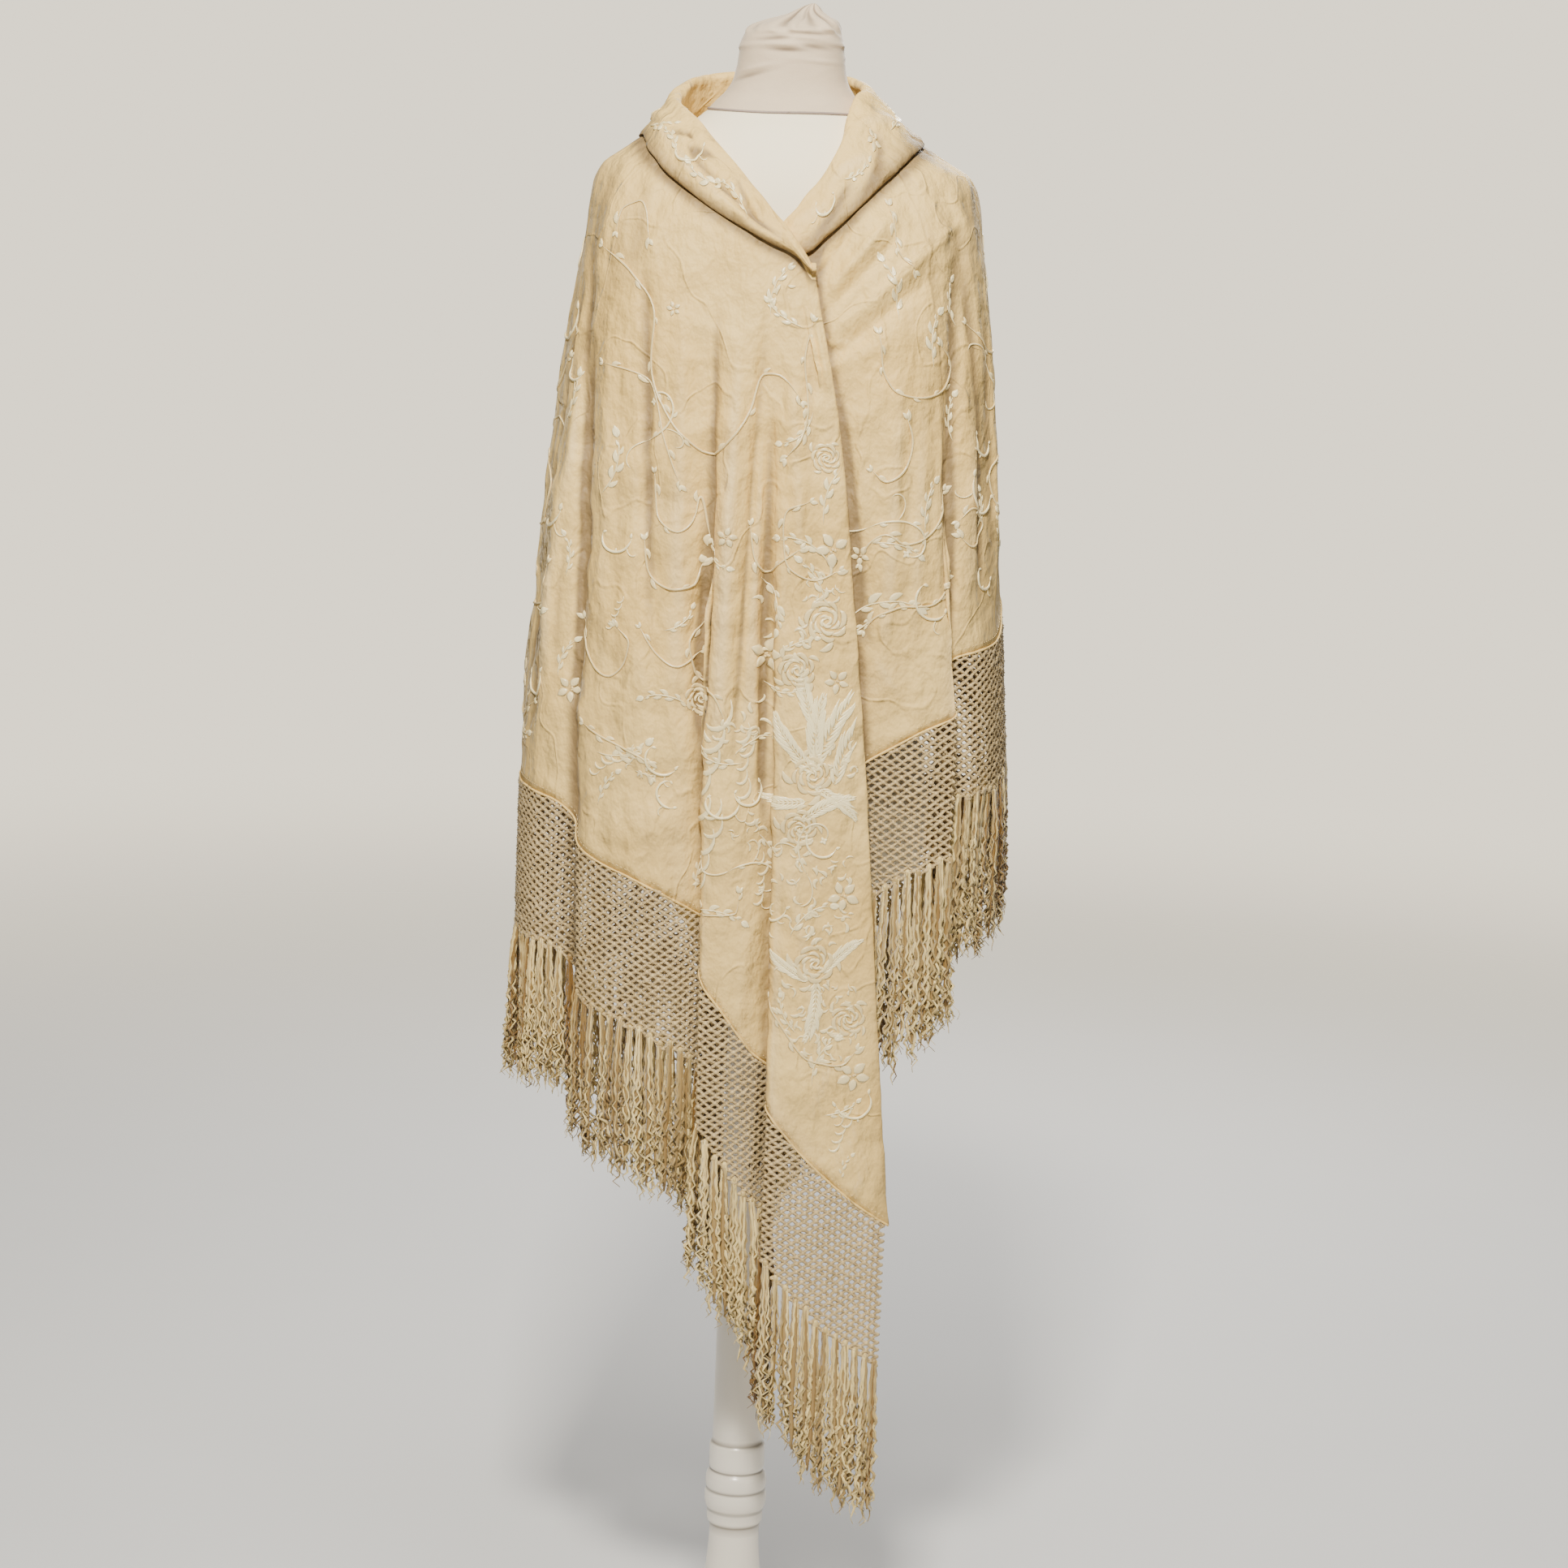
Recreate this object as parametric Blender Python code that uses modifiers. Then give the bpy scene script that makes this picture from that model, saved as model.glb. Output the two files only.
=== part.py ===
"""Piano shawl worn on a dress form: the cloth as thin walls, its net and tassels, and the form and stand.

Metres, +Z up, origin on the floor at the middle of the stand's base. The front faces -Y, and +X is the viewer's
right. Plan angles are in degrees: 0 and 360 at the front, 90 on the viewer's right, 180 at the back.
"""

import bpy
import numpy as np

CLOTH_WALL = 0.0020
COLLAR_WALL = 0.0024
NET_WALL = 0.0016
SEAM_GAP = 0.0005
STEEP_SEAM_GAP = 0.0024
STEEP_STRIP_GAP = 0.0090
SEAM_HALF_ANGLE = 0.12

# The folds of a panel start to turn below HIGH_Z and are half open at MID_Z; the eases round that change.
RIGHT_SEAM = 97.0
LEFT_SEAM = 262.0
HIGH_Z = 1.45
MID_Z = 1.20
TURN_EASE = 1.6
SWELL_EASE = 1.3
ROW_CROWDING = 1.6
NET_ROWS = 3

# The collar's section: a low stand inside, the roll, and a fall whose edge lies close to the panels.
COLLAR_STAND = 0.0140
COLLAR_EDGE_OUT = 0.008
COLLAR_TURNS = (180, 120, 60, 0)
COLLAR_FALL_STEPS = (0.4, 0.75, 1.0)
COLLAR_COLUMNS = ((-6, 31, 7), (45, 262, 17), (272, 370.5, 14))

STRIP_HEIGHT = 0.006
STRIP_WALL = 0.003
STRAND_PITCH = 0.0180
STRAND_WIDTH = 0.0085
STRAND_MIDDLE = 0.90
STRAND_TIP = 0.45
STRAND_SHORTEST = 0.90
STRAND_SWAY = 0.0025
EDGE_STEPS = 8
EDGE_LOOK = 0.002

RING_POWER = 2.3
FORM_POWER = 2.2
TORSO_SIDES = 28
NECK_SIDES = 24
TURN_STEPS = 22
SHARP_ANGLE = 50

# The hanging cloth, ring by ring: height, then how far it stands out to each side of the column.
CLOTH_RINGS = {
    "columns": ("z", "left", "right", "front", "back"),
    "rows": (
        (1.665, 0.094, 0.060, 0.026, 0.075),
        (1.652, 0.097, 0.063, 0.035, 0.078),
        (1.637, 0.102, 0.069, 0.045, 0.082),
        (1.620, 0.107, 0.081, 0.055, 0.088),
        (1.605, 0.116, 0.100, 0.064, 0.095),
        (1.587, 0.139, 0.130, 0.080, 0.105),
        (1.571, 0.163, 0.156, 0.093, 0.113),
        (1.557, 0.181, 0.179, 0.104, 0.120),
        (1.540, 0.189, 0.188, 0.115, 0.126),
        (1.500, 0.194, 0.194, 0.140, 0.133),
        (1.470, 0.198, 0.198, 0.147, 0.137),
        (1.380, 0.209, 0.208, 0.160, 0.141),
        (1.300, 0.216, 0.216, 0.167, 0.143),
        (1.237, 0.222, 0.221, 0.171, 0.144),
        (1.150, 0.228, 0.227, 0.173, 0.145),
        (1.030, 0.239, 0.236, 0.172, 0.146),
        (0.930, 0.241, 0.242, 0.168, 0.145),
        (0.850, 0.241, 0.248, 0.163, 0.144),
        (0.700, 0.240, 0.248, 0.156, 0.142),
        (0.530, 0.238, 0.248, 0.151, 0.140),
        (0.200, 0.236, 0.248, 0.150, 0.138),
    ),
}

# The rolled collar, from the right front (under) round the back to the left front (over).
COLLAR = {
    "columns": ("angle", "roll_z", "fall_z", "out_mm", "radius_mm"),
    "rows": (
        (-6.0, 1.490, 1.472, -14, 3.5),
        (1.0, 1.514, 1.477, -14, 3.5),
        (10.0, 1.537, 1.485, -12, 4.0),
        (16.5, 1.550, 1.500, -8, 5.0),
        (31.6, 1.584, 1.530, -2, 6.0),
        (50.0, 1.616, 1.562, 0, 6.0),
        (70.0, 1.636, 1.583, 0, 7.0),
        (90.0, 1.640, 1.590, 0, 7.0),
        (120.0, 1.646, 1.588, 0, 7.0),
        (150.0, 1.651, 1.578, 0, 7.0),
        (180.0, 1.652, 1.568, 0, 7.0),
        (215.0, 1.651, 1.570, 0, 7.0),
        (245.0, 1.642, 1.578, 0, 7.0),
        (262.0, 1.632, 1.584, 0, 7.0),
        (277.0, 1.622, 1.587, 0, 7.0),
        (298.0, 1.606, 1.569, 0, 7.0),
        (310.0, 1.594, 1.551, 0, 6.5),
        (330.0, 1.569, 1.523, 0, 6.0),
        (345.0, 1.544, 1.505, 0, 6.0),
        (354.0, 1.523, 1.494, 0, 5.0),
        (364.5, 1.500, 1.482, 0, 5.0),
        (370.5, 1.474, 1.466, 0, 4.0),
    ),
}

# The folds of each panel in the order they lie along the cloth. A fold that turns back on itself has a falling
# angle. high, mid and hem are plan angles at HIGH_Z, at MID_Z and at the cloth's edge; the out columns say how
# far the cloth stands out there from its ring.
LEFT_FRONT = {
    "columns": ("high", "mid", "hem", "high_mm", "mid_mm", "hem_mm", "hem_z"),
    "rows": (
        (262.0, 262.0, 262.0, 0, 0, 0, 0.951),
        (272.0, 274.0, 276.0, 0, 1, 3, 0.949),
        (280.0, 287.0, 288.0, 0, 2, 4, 0.945),
        (284.5, 295.0, 296.0, 0, -1, -3, 0.938),
        (288.0, 300.0, 301.0, -1, -7, -14, 0.920),
        (292.0, 304.0, 305.0, 0, -2, -4, 0.898),
        (300.0, 311.0, 311.0, 0, 1, 2, 0.886),
        (312.0, 320.0, 321.0, 0, 2, 3, 0.872),
        (321.0, 328.0, 330.0, 0, 0, -1, 0.858),
        (325.0, 332.5, 336.0, 0, -3, -8, 0.847),
        (328.0, 335.5, 344.5, 0, -7, -24, 0.828),
        (329.5, 337.0, 350.0, 0, -8, -22, 0.818),
        (331.0, 338.5, 347.0, 0, -7, -13, 0.800),
        (332.5, 340.0, 341.0, 0, -4, -6, 0.784),
        (335.0, 342.0, 342.0, 0, 0, 2, 0.772),
        (340.0, 347.0, 348.0, 0, 2, 4, 0.749),
        (346.0, 352.0, 354.0, 0, 1, 1, 0.725),
        (349.5, 355.0, 360.0, 0, -2, -6, 0.703),
        (351.5, 357.5, 365.5, 0, -5, -15, 0.690),
        (353.0, 359.0, 370.5, 0, -6, -18, 0.679),
        (354.5, 360.5, 369.5, 0, -5, -11, 0.666),
        (356.0, 362.0, 366.0, 0, -2, -5, 0.649),
        (358.0, 364.5, 368.0, 0, 1, 4, 0.640),
        (363.0, 370.0, 378.0, 1, 3, 6, 0.607),
        (368.0, 377.0, 389.0, 2, 3, 5, 0.575),
        (371.0, 382.0, 399.0, 2, 3, 4, 0.548),
        (371.8, 384.0, 407.0, 2, 3, 1, 0.529),
    ),
}
RIGHT_FRONT = {
    "columns": LEFT_FRONT["columns"],
    "rows": (
        (-3.0, -5.0, 0.0, -14, -16, -34, 0.890),
        (4.0, 3.0, 9.0, -14, -16, -34, 0.918),
        (11.0, 12.0, 18.0, -12, -15, -32, 0.948),
        (19.0, 21.0, 26.0, -7, -13, -28, 0.975),
        (26.0, 30.0, 33.0, -3, -8, -22, 0.994),
        (34.0, 39.0, 41.0, 0, -3, -15, 1.011),
        (42.0, 47.0, 49.0, 0, 0, -5, 1.028),
        (48.5, 53.0, 57.0, 0, 1, 3, 1.042),
        (50.5, 55.0, 56.4, 0, -2, -5, 1.052),
        (52.0, 56.5, 53.5, -1, -4, -13, 1.068),
        (54.0, 58.0, 56.5, -1, -4, -18, 1.084),
        (57.0, 61.0, 60.5, 0, -2, -10, 1.097),
        (64.0, 68.0, 67.0, 0, 0, -2, 1.102),
        (75.0, 78.0, 78.0, 0, 0, 0, 1.107),
        (86.0, 87.0, 87.0, 0, 0, 0, 1.125),
        (97.0, 97.0, 97.0, 0, 0, 0, 1.150),
    ),
}

# The back hangs in soft hollows between its ridges; its edge falls to the corner of the folded square.
BACK_FOLDS = {
    "columns": ("angle", "mid_mm", "hem_mm", "half_width"),
    "rows": (
        (112.0, 6, 20, 7.0),
        (133.0, 9, 26, 8.0),
        (156.0, 7, 24, 8.0),
        (179.0, 10, 28, 9.0),
        (203.0, 8, 24, 9.0),
        (229.0, 6, 20, 9.0),
        (249.0, 3, 12, 6.0),
    ),
}
BACK_RIDGE_OUT = 0.006
BACK_MID_SHARE = 0.4
BACK_FADE = 8.0
BACK_COLUMNS = 40
BACK_EDGE = {
    "columns": ("angle", "z"),
    "rows": (
        (97.0, 1.150),
        (110.0, 1.078),
        (125.0, 0.988),
        (140.0, 0.900),
        (155.0, 0.812),
        (170.0, 0.737),
        (184.0, 0.682),
        (190.0, 0.690),
        (205.0, 0.755),
        (220.0, 0.815),
        (235.0, 0.868),
        (250.0, 0.925),
        (262.0, 0.951),
    ),
}

# Each panel's rows of points, the depth of its net, and the length of its strands from one end to the other.
PANELS = {
    "columns": ("name", "rows", "net_depth", "first_strand", "last_strand", "seed"),
    "rows": (
        ("left_front", 15, 0.155, 0.150, 0.172, 11),
        ("back", 14, 0.155, 0.150, 0.150, 12),
        ("right_front", 13, 0.145, 0.215, 0.150, 13),
    ),
}
FRONT_STEPS = 2

TORSO = {
    "columns": ("z", "x", "side", "front", "back"),
    "rows": (
        (0.8600, 0.0, 0.152, 0.100, 0.106),
        (0.8680, 0.0, 0.160, 0.107, 0.114),
        (0.9100, 0.0, 0.166, 0.112, 0.120),
        (0.9800, 0.0, 0.160, 0.108, 0.114),
        (1.0600, 0.0, 0.134, 0.092, 0.095),
        (1.1400, 0.0, 0.118, 0.085, 0.085),
        (1.2200, 0.0, 0.123, 0.096, 0.090),
        (1.3000, 0.0, 0.140, 0.120, 0.097),
        (1.3600, 0.0, 0.154, 0.126, 0.103),
        (1.4300, 0.0, 0.166, 0.116, 0.110),
        (1.4900, 0.0, 0.177, 0.106, 0.113),
        (1.5350, 0.0, 0.1820, 0.096, 0.110),
        (1.5560, 0.0, 0.1694, 0.089, 0.104),
        (1.5710, 0.0, 0.1470, 0.082, 0.098),
        (1.5870, 0.0, 0.1230, 0.072, 0.088),
        (1.6010, 0.0, 0.0980, 0.062, 0.075),
        (1.6090, 0.0, 0.0840, 0.058, 0.066),
        (1.6135, 0.0, 0.0800, 0.057, 0.062),
    ),
}
NECK_COVER = {
    "columns": TORSO["columns"],
    "rows": (
        (1.6138, 0.000, 0.0800, 0.0570, 0.0620),
        (1.6220, 0.000, 0.0730, 0.0545, 0.0580),
        (1.6330, 0.000, 0.0625, 0.0510, 0.0540),
        (1.6450, 0.000, 0.0560, 0.0490, 0.0520),
        (1.6600, 0.000, 0.0530, 0.0480, 0.0505),
        (1.6780, 0.000, 0.0505, 0.0465, 0.0490),
        (1.6920, 0.001, 0.0480, 0.0445, 0.0465),
        (1.7000, 0.003, 0.0400, 0.0370, 0.0390),
        (1.7050, 0.008, 0.0270, 0.0240, 0.0250),
        (1.7100, 0.013, 0.0150, 0.0120, 0.0130),
        (1.7150, 0.017, 0.0100, 0.0070, 0.0080),
        (1.7190, 0.019, 0.0050, 0.0035, 0.0040),
    ),
}

# Turned profiles, from the middle of the top face, down the outer side, to the middle of the underside.
COLUMN_PROFILE = (
    (0.0000, 0.8597),
    (0.0260, 0.8597),
    (0.0260, 0.2540),
    (0.0285, 0.2510),
    (0.0285, 0.2260),
    (0.0266, 0.2235),
    (0.0300, 0.2200),
    (0.0318, 0.2110),
    (0.0305, 0.2030),
    (0.0322, 0.1990),
    (0.0318, 0.1890),
    (0.0300, 0.1830),
    (0.0288, 0.1810),
    (0.0288, 0.1690),
    (0.0262, 0.1650),
    (0.0258, 0.1560),
    (0.0290, 0.1140),
    (0.0350, 0.0800),
    (0.0360, 0.0680),
    (0.0330, 0.0500),
    (0.0290, 0.0400),
    (0.0400, 0.0330),
    (0.0400, 0.0258),
    (0.0000, 0.0258),
)
BASE_PROFILE = (
    (0.0000, 0.0255),
    (0.1500, 0.0255),
    (0.1640, 0.0225),
    (0.1710, 0.0150),
    (0.1750, 0.0100),
    (0.1750, 0.0040),
    (0.1710, 0.0000),
    (0.0000, 0.0000),
)


def column(table, name):
    """One named column of a table, as an array."""
    place = table["columns"].index(name)
    return np.array([row[place] for row in table["rows"]], float)


def smooth(at, known_at, known):
    """The monotone cubic curve through the known values, read at each place: it never overshoots them."""
    order = np.argsort(known_at)
    x = known_at[order]
    y = known[order]
    step = np.diff(x)
    slope = np.diff(y) / step
    tangent = np.zeros(len(x))
    same_way = slope[1:] * slope[:-1] > 0
    tangent[1:-1][same_way] = 2 / (1 / slope[1:][same_way] + 1 / slope[:-1][same_way])
    tangent[0] = slope[0]
    tangent[-1] = slope[-1]
    at = np.clip(at, x[0], x[-1])
    i = np.clip(np.searchsorted(x, at) - 1, 0, len(step) - 1)
    t = (at - x[i]) / step[i]
    ends = y[i] * (1 + 2 * t) * (1 - t) ** 2 + y[i + 1] * t**2 * (3 - 2 * t)
    return ends + step[i] * (tangent[i] * t * (1 - t) ** 2 - tangent[i + 1] * t**2 * (1 - t))


def ring_point(angle, z, out):
    """A point of the cloth: on the rounded ring of its height, at a plan angle, and moved out from it."""
    heights = column(CLOTH_RINGS, "z")
    side_x = np.sin(np.radians(angle))
    side_y = -np.cos(np.radians(angle))
    reach = {name: smooth(z, heights, column(CLOTH_RINGS, name)) for name in ("left", "right", "front", "back")}
    half_x = np.where(side_x < 0, reach["left"], reach["right"])
    half_y = np.where(side_y < 0, reach["front"], reach["back"])
    along_x = np.abs(side_x) / half_x
    along_y = np.abs(side_y) / half_y
    radius = (along_x**RING_POWER + along_y**RING_POWER) ** (-1 / RING_POWER)
    normal_x = np.sign(side_x) * along_x ** (RING_POWER - 1) / half_x
    normal_y = np.sign(side_y) * along_y ** (RING_POWER - 1) / half_y
    length = np.hypot(normal_x, normal_y)
    x = radius * side_x + out * normal_x / length
    y = radius * side_y + out * normal_y / length
    return np.stack([x, y, z + 0 * x], axis=-1)


def roll_z(angle):
    """The height of the collar's roll line. The left front's angles run on past 360, where it laps over."""
    return smooth(angle, column(COLLAR, "angle"), column(COLLAR, "roll_z"))


def front_walk(table):
    """A front panel's columns along the cloth: each table value, smoothed between the folds."""
    folds = np.arange(len(table["rows"]), dtype=float)
    at = np.linspace(0, folds[-1], FRONT_STEPS * (len(folds) - 1) + 1)
    walk = {name: smooth(at, folds, column(table, name)) for name in table["columns"]}
    for name in ("high_mm", "mid_mm", "hem_mm"):
        walk[name.replace("mm", "out")] = walk.pop(name) / 1000
    return walk


def back_walk():
    """The back's columns: even steps of angle, with a rounded hollow at each fold."""
    angle = np.linspace(RIGHT_SEAM, LEFT_SEAM, BACK_COLUMNS)
    to_seam = np.minimum(angle - RIGHT_SEAM, LEFT_SEAM - angle)
    ridge = np.clip(to_seam / BACK_FADE, 0, 1)
    walk = {"high": angle, "mid": angle, "hem": angle, "high_out": 0 * angle}
    for level, share in (("mid", BACK_MID_SHARE), ("hem", 1.0)):
        out = share * BACK_RIDGE_OUT * ridge
        for row in range(len(BACK_FOLDS["rows"])):
            from_fold = (angle - column(BACK_FOLDS, "angle")[row]) / column(BACK_FOLDS, "half_width")[row]
            out = out - column(BACK_FOLDS, level + "_mm")[row] / 1000 * np.exp(-(from_fold**2))
        walk[level + "_out"] = out * ridge
    walk["hem_z"] = smooth(angle, column(BACK_EDGE, "angle"), column(BACK_EDGE, "z"))
    return walk


def parted_at_seam(walk):
    """Turns a panel's end columns a little inwards from the side seams, so that neighbours stand apart."""
    for name in ("high", "mid", "hem"):
        angle = walk[name].copy()
        for end in (0, -1):
            towards = np.sign(walk[name][len(angle) // 2] - angle[end])
            if min(abs(angle[end] - RIGHT_SEAM), abs(angle[end] - LEFT_SEAM)) < 1e-6:
                angle[end] += towards * SEAM_HALF_ANGLE
        walk[name] = angle
    return walk


def cloth_point(walk, z):
    """The cloth at the walk's columns and at heights z: its folds open between the shoulder and the hem."""
    upper = np.clip((HIGH_Z - z) / (HIGH_Z - MID_Z), 0, 1)
    lower = np.clip((MID_Z - z) / (MID_Z - walk["hem_z"]), 0, 1)
    turn = 1 - (1 - upper) ** TURN_EASE
    swell = upper**SWELL_EASE
    angle = walk["high"] + (walk["mid"] - walk["high"]) * turn + (walk["hem"] - walk["mid"]) * lower
    out = walk["high_out"] * (1 - swell) + walk["mid_out"] * swell
    out = out + (walk["hem_out"] - walk["mid_out"]) * lower
    return ring_point(angle, z, out)


def seam_gap(points, steep_gap):
    """The gap below an edge, measured straight down: wider where the edge is steep, so that it stays open."""
    ahead = np.gradient(points, axis=0)
    slope = np.abs(ahead[:, 2]) / np.maximum(np.hypot(ahead[:, 0], ahead[:, 1]), 1e-6)
    return SEAM_GAP + steep_gap * np.minimum(slope, 3)


def panel_grid(walk, rows):
    """A panel from just under the collar's stand to the hem, with more rows over the shoulder."""
    stand = roll_z(walk["high"]) - COLLAR_STAND
    top = stand - seam_gap(cloth_point(walk, stand), STEEP_SEAM_GAP)
    down = np.linspace(0, 1, rows)[:, None] ** ROW_CROWDING
    return cloth_point(walk, top + (walk["hem_z"] - top) * down)


def net_grid(walk, depth):
    """The netted band, hanging straight down from the hem."""
    top = walk["hem_z"] - seam_gap(cloth_point(walk, walk["hem_z"]), STEEP_SEAM_GAP)
    down = np.linspace(0, 1, NET_ROWS)[:, None]
    return cloth_point(walk, top - depth * down)


def collar_grid():
    """A hairpin section at each angle: up the inner side, over the roll and down the fall to the folded edge."""
    known = column(COLLAR, "angle")
    angle = np.concatenate([np.linspace(*part) for part in COLLAR_COLUMNS])
    roll = roll_z(angle)
    fall = smooth(angle, known, column(COLLAR, "fall_z"))
    under = smooth(angle, known, column(COLLAR, "out_mm")) / 1000
    radius = smooth(angle, known, column(COLLAR, "radius_mm")) / 1000
    heights = [roll - COLLAR_STAND]
    outs = [under]
    for turn in np.radians(COLLAR_TURNS):
        heights.append(roll - radius * (1 - np.sin(turn)))
        outs.append(under + radius * (1 + np.cos(turn)))
    edge_out = np.minimum(2 * radius, COLLAR_EDGE_OUT)
    for down in COLLAR_FALL_STEPS:
        heights.append((roll - radius) + (fall - roll + radius) * down)
        outs.append(under + 2 * radius + (edge_out - 2 * radius) * down)
    return ring_point(angle[None, :], np.array(heights), np.array(outs))


def material(name, colour, roughness):
    made = bpy.data.materials.new(name)
    made.use_nodes = True
    shader = made.node_tree.nodes["Principled BSDF"]
    shader.inputs["Base Color"].default_value = (*colour, 1)
    shader.inputs["Roughness"].default_value = roughness
    shader.inputs["Metallic"].default_value = 0
    made.diffuse_color = (*colour, 1)
    return made


def add_object(name, points, faces, finish, collection):
    """A named object from a mesh's points and faces, shaded smooth but for its sharp edges."""
    mesh = bpy.data.meshes.new(name)
    mesh.from_pydata([tuple(map(float, point)) for point in points], [], faces)
    mesh.validate()
    mesh.shade_smooth()
    mesh.set_sharp_from_angle(angle=np.radians(SHARP_ANGLE))
    mesh.materials.append(finish)
    made = bpy.data.objects.new(name, mesh)
    collection.objects.link(made)
    return made


def grid_faces(rows, columns):
    """The quads of a grid of points whose rows run down and whose columns run with the plan angle."""
    corner = np.arange(rows * columns).reshape(rows, columns)
    quads = np.stack([corner[:-1, :-1], corner[1:, :-1], corner[1:, 1:], corner[:-1, 1:]], axis=-1)
    return quads.reshape(-1, 4).tolist()


def add_wall(name, grid, wall, finish, collection):
    """An open sheet of points made into a wall of even thickness."""
    rows, columns = grid.shape[:2]
    made = add_object(name, grid.reshape(-1, 3), grid_faces(rows, columns), finish, collection)
    thick = made.modifiers.new("wall", "SOLIDIFY")
    thick.thickness = wall
    thick.offset = 0
    thick.use_quality_normals = True
    return made


def along_path(path, distance):
    """Points at given distances along a path of points."""
    run = np.concatenate([[0], np.cumsum(np.linalg.norm(np.diff(path, axis=0), axis=1))])
    return np.stack([np.interp(distance, run, path[:, axis]) for axis in range(3)], axis=-1), run[-1]


def add_fringe(name, walk, net_depth, lengths, seed, finish, collection):
    """A narrow strip along the net's lower edge, with tapering four-sided strands hanging from it.

    Their length runs evenly from the first to the second of lengths along the strip.
    """
    finer = np.linspace(0, len(walk["hem_z"]) - 1, EDGE_STEPS * len(walk["hem_z"]))
    fine = {key: np.interp(finer, np.arange(len(value)), value) for key, value in walk.items()}
    path = cloth_point(fine, fine["hem_z"] - net_depth)
    path[:, 2] -= seam_gap(path, STEEP_STRIP_GAP) + SEAM_GAP / 2
    run = along_path(path, np.zeros(1))[1]
    count = int(run / STRAND_PITCH)
    pitch = run / count
    starts = (np.arange(count) + 0.5) * pitch - STRAND_WIDTH / 2
    marks = np.stack([starts, starts + STRAND_WIDTH], axis=-1).ravel()
    centre = along_path(path, marks)[0]
    ahead = along_path(path, marks + EDGE_LOOK)[0] - along_path(path, marks - EDGE_LOOK)[0]
    across = np.stack([-ahead[:, 1], ahead[:, 0], 0 * ahead[:, 0]], axis=-1)
    across *= STRIP_WALL / 2 / np.linalg.norm(across, axis=1)[:, None]
    down = np.array([0, 0, -STRIP_HEIGHT])
    strip = np.stack([centre + across, centre - across, centre - across + down, centre + across + down], axis=1)
    points = strip.reshape(-1, 3).tolist()
    faces = [[0, 3, 2, 1]]
    for mark in range(len(marks) - 1):
        first = 4 * mark
        after = first + 4
        faces += [
            [first, first + 1, after + 1, after],
            [first + 1, first + 2, after + 2, after + 1],
            [first + 3, first, after, after + 3],
        ]
        if mark % 2:
            faces.append([first + 2, first + 3, after + 3, after + 2])
    last = 4 * (len(marks) - 1)
    faces.append([last, last + 1, last + 2, last + 3])
    chance = np.random.default_rng(seed)
    for strand in range(count):
        first = 8 * strand
        ring = [first + 2, first + 3, first + 7, first + 6]
        root = np.array([points[corner] for corner in ring])
        middle = root.mean(axis=0)
        tangent = root[2] - root[1]
        tangent[2] = 0
        tangent /= np.linalg.norm(tangent)
        even = lengths[0] + (lengths[1] - lengths[0]) * strand / (count - 1)
        reach = even * chance.uniform(STRAND_SHORTEST, 1)
        for share, width in ((0.5, STRAND_MIDDLE), (1.0, STRAND_TIP)):
            sway = tangent * chance.normal(0, STRAND_SWAY) * share
            level = middle + (root - middle) * np.array([width, width, 0]) + sway
            level[:, 2] = middle[2] - reach * share
            next_ring = list(range(len(points), len(points) + 4))
            points += level.tolist()
            for side in range(4):
                other = (side + 1) % 4
                faces.append([ring[side], ring[other], next_ring[other], next_ring[side]])
            ring = next_ring
        faces.append(ring)
    return add_object(name, points, faces, finish, collection)


def add_lofted(name, table, sides, finish, collection):
    """A closed solid through rounded rings, with a flat cap at each end."""
    turn = np.linspace(0, 2 * np.pi, sides, endpoint=False)[None, :]
    side = column(table, "side")[:, None]
    front = column(table, "front")[:, None]
    back = column(table, "back")[:, None]
    half_y = np.where(np.cos(turn) > 0, front, back)
    along = np.abs(np.sin(turn) / side) ** FORM_POWER + np.abs(np.cos(turn) / half_y) ** FORM_POWER
    radius = along ** (-1 / FORM_POWER)
    x = column(table, "x")[:, None] + radius * np.sin(turn)
    y = -radius * np.cos(turn)
    z = column(table, "z")[:, None] + 0 * x
    rows = len(table["rows"])
    points = np.stack([x, y, z], axis=-1).reshape(-1, 3)
    faces = [list(range(sides))[::-1], list(range((rows - 1) * sides, rows * sides))]
    for row in range(rows - 1):
        for place in range(sides):
            other = (place + 1) % sides
            low = row * sides
            high = low + sides
            faces.append([low + place, low + other, high + other, high + place])
    return add_object(name, points, faces, finish, collection)


def add_turned(name, profile, finish, collection):
    """A turned piece: its profile swept round the Z axis."""
    points = [(radius, 0, z) for radius, z in profile]
    mesh = bpy.data.meshes.new(name)
    mesh.from_pydata(points, [(i, i + 1) for i in range(len(points) - 1)], [])
    mesh.materials.append(finish)
    made = bpy.data.objects.new(name, mesh)
    collection.objects.link(made)
    sweep = made.modifiers.new("turned", "SCREW")
    sweep.steps = TURN_STEPS
    sweep.render_steps = TURN_STEPS
    sweep.use_merge_vertices = True
    sweep.merge_threshold = 0.00001
    sweep.use_smooth_shade = True
    return made


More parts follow.
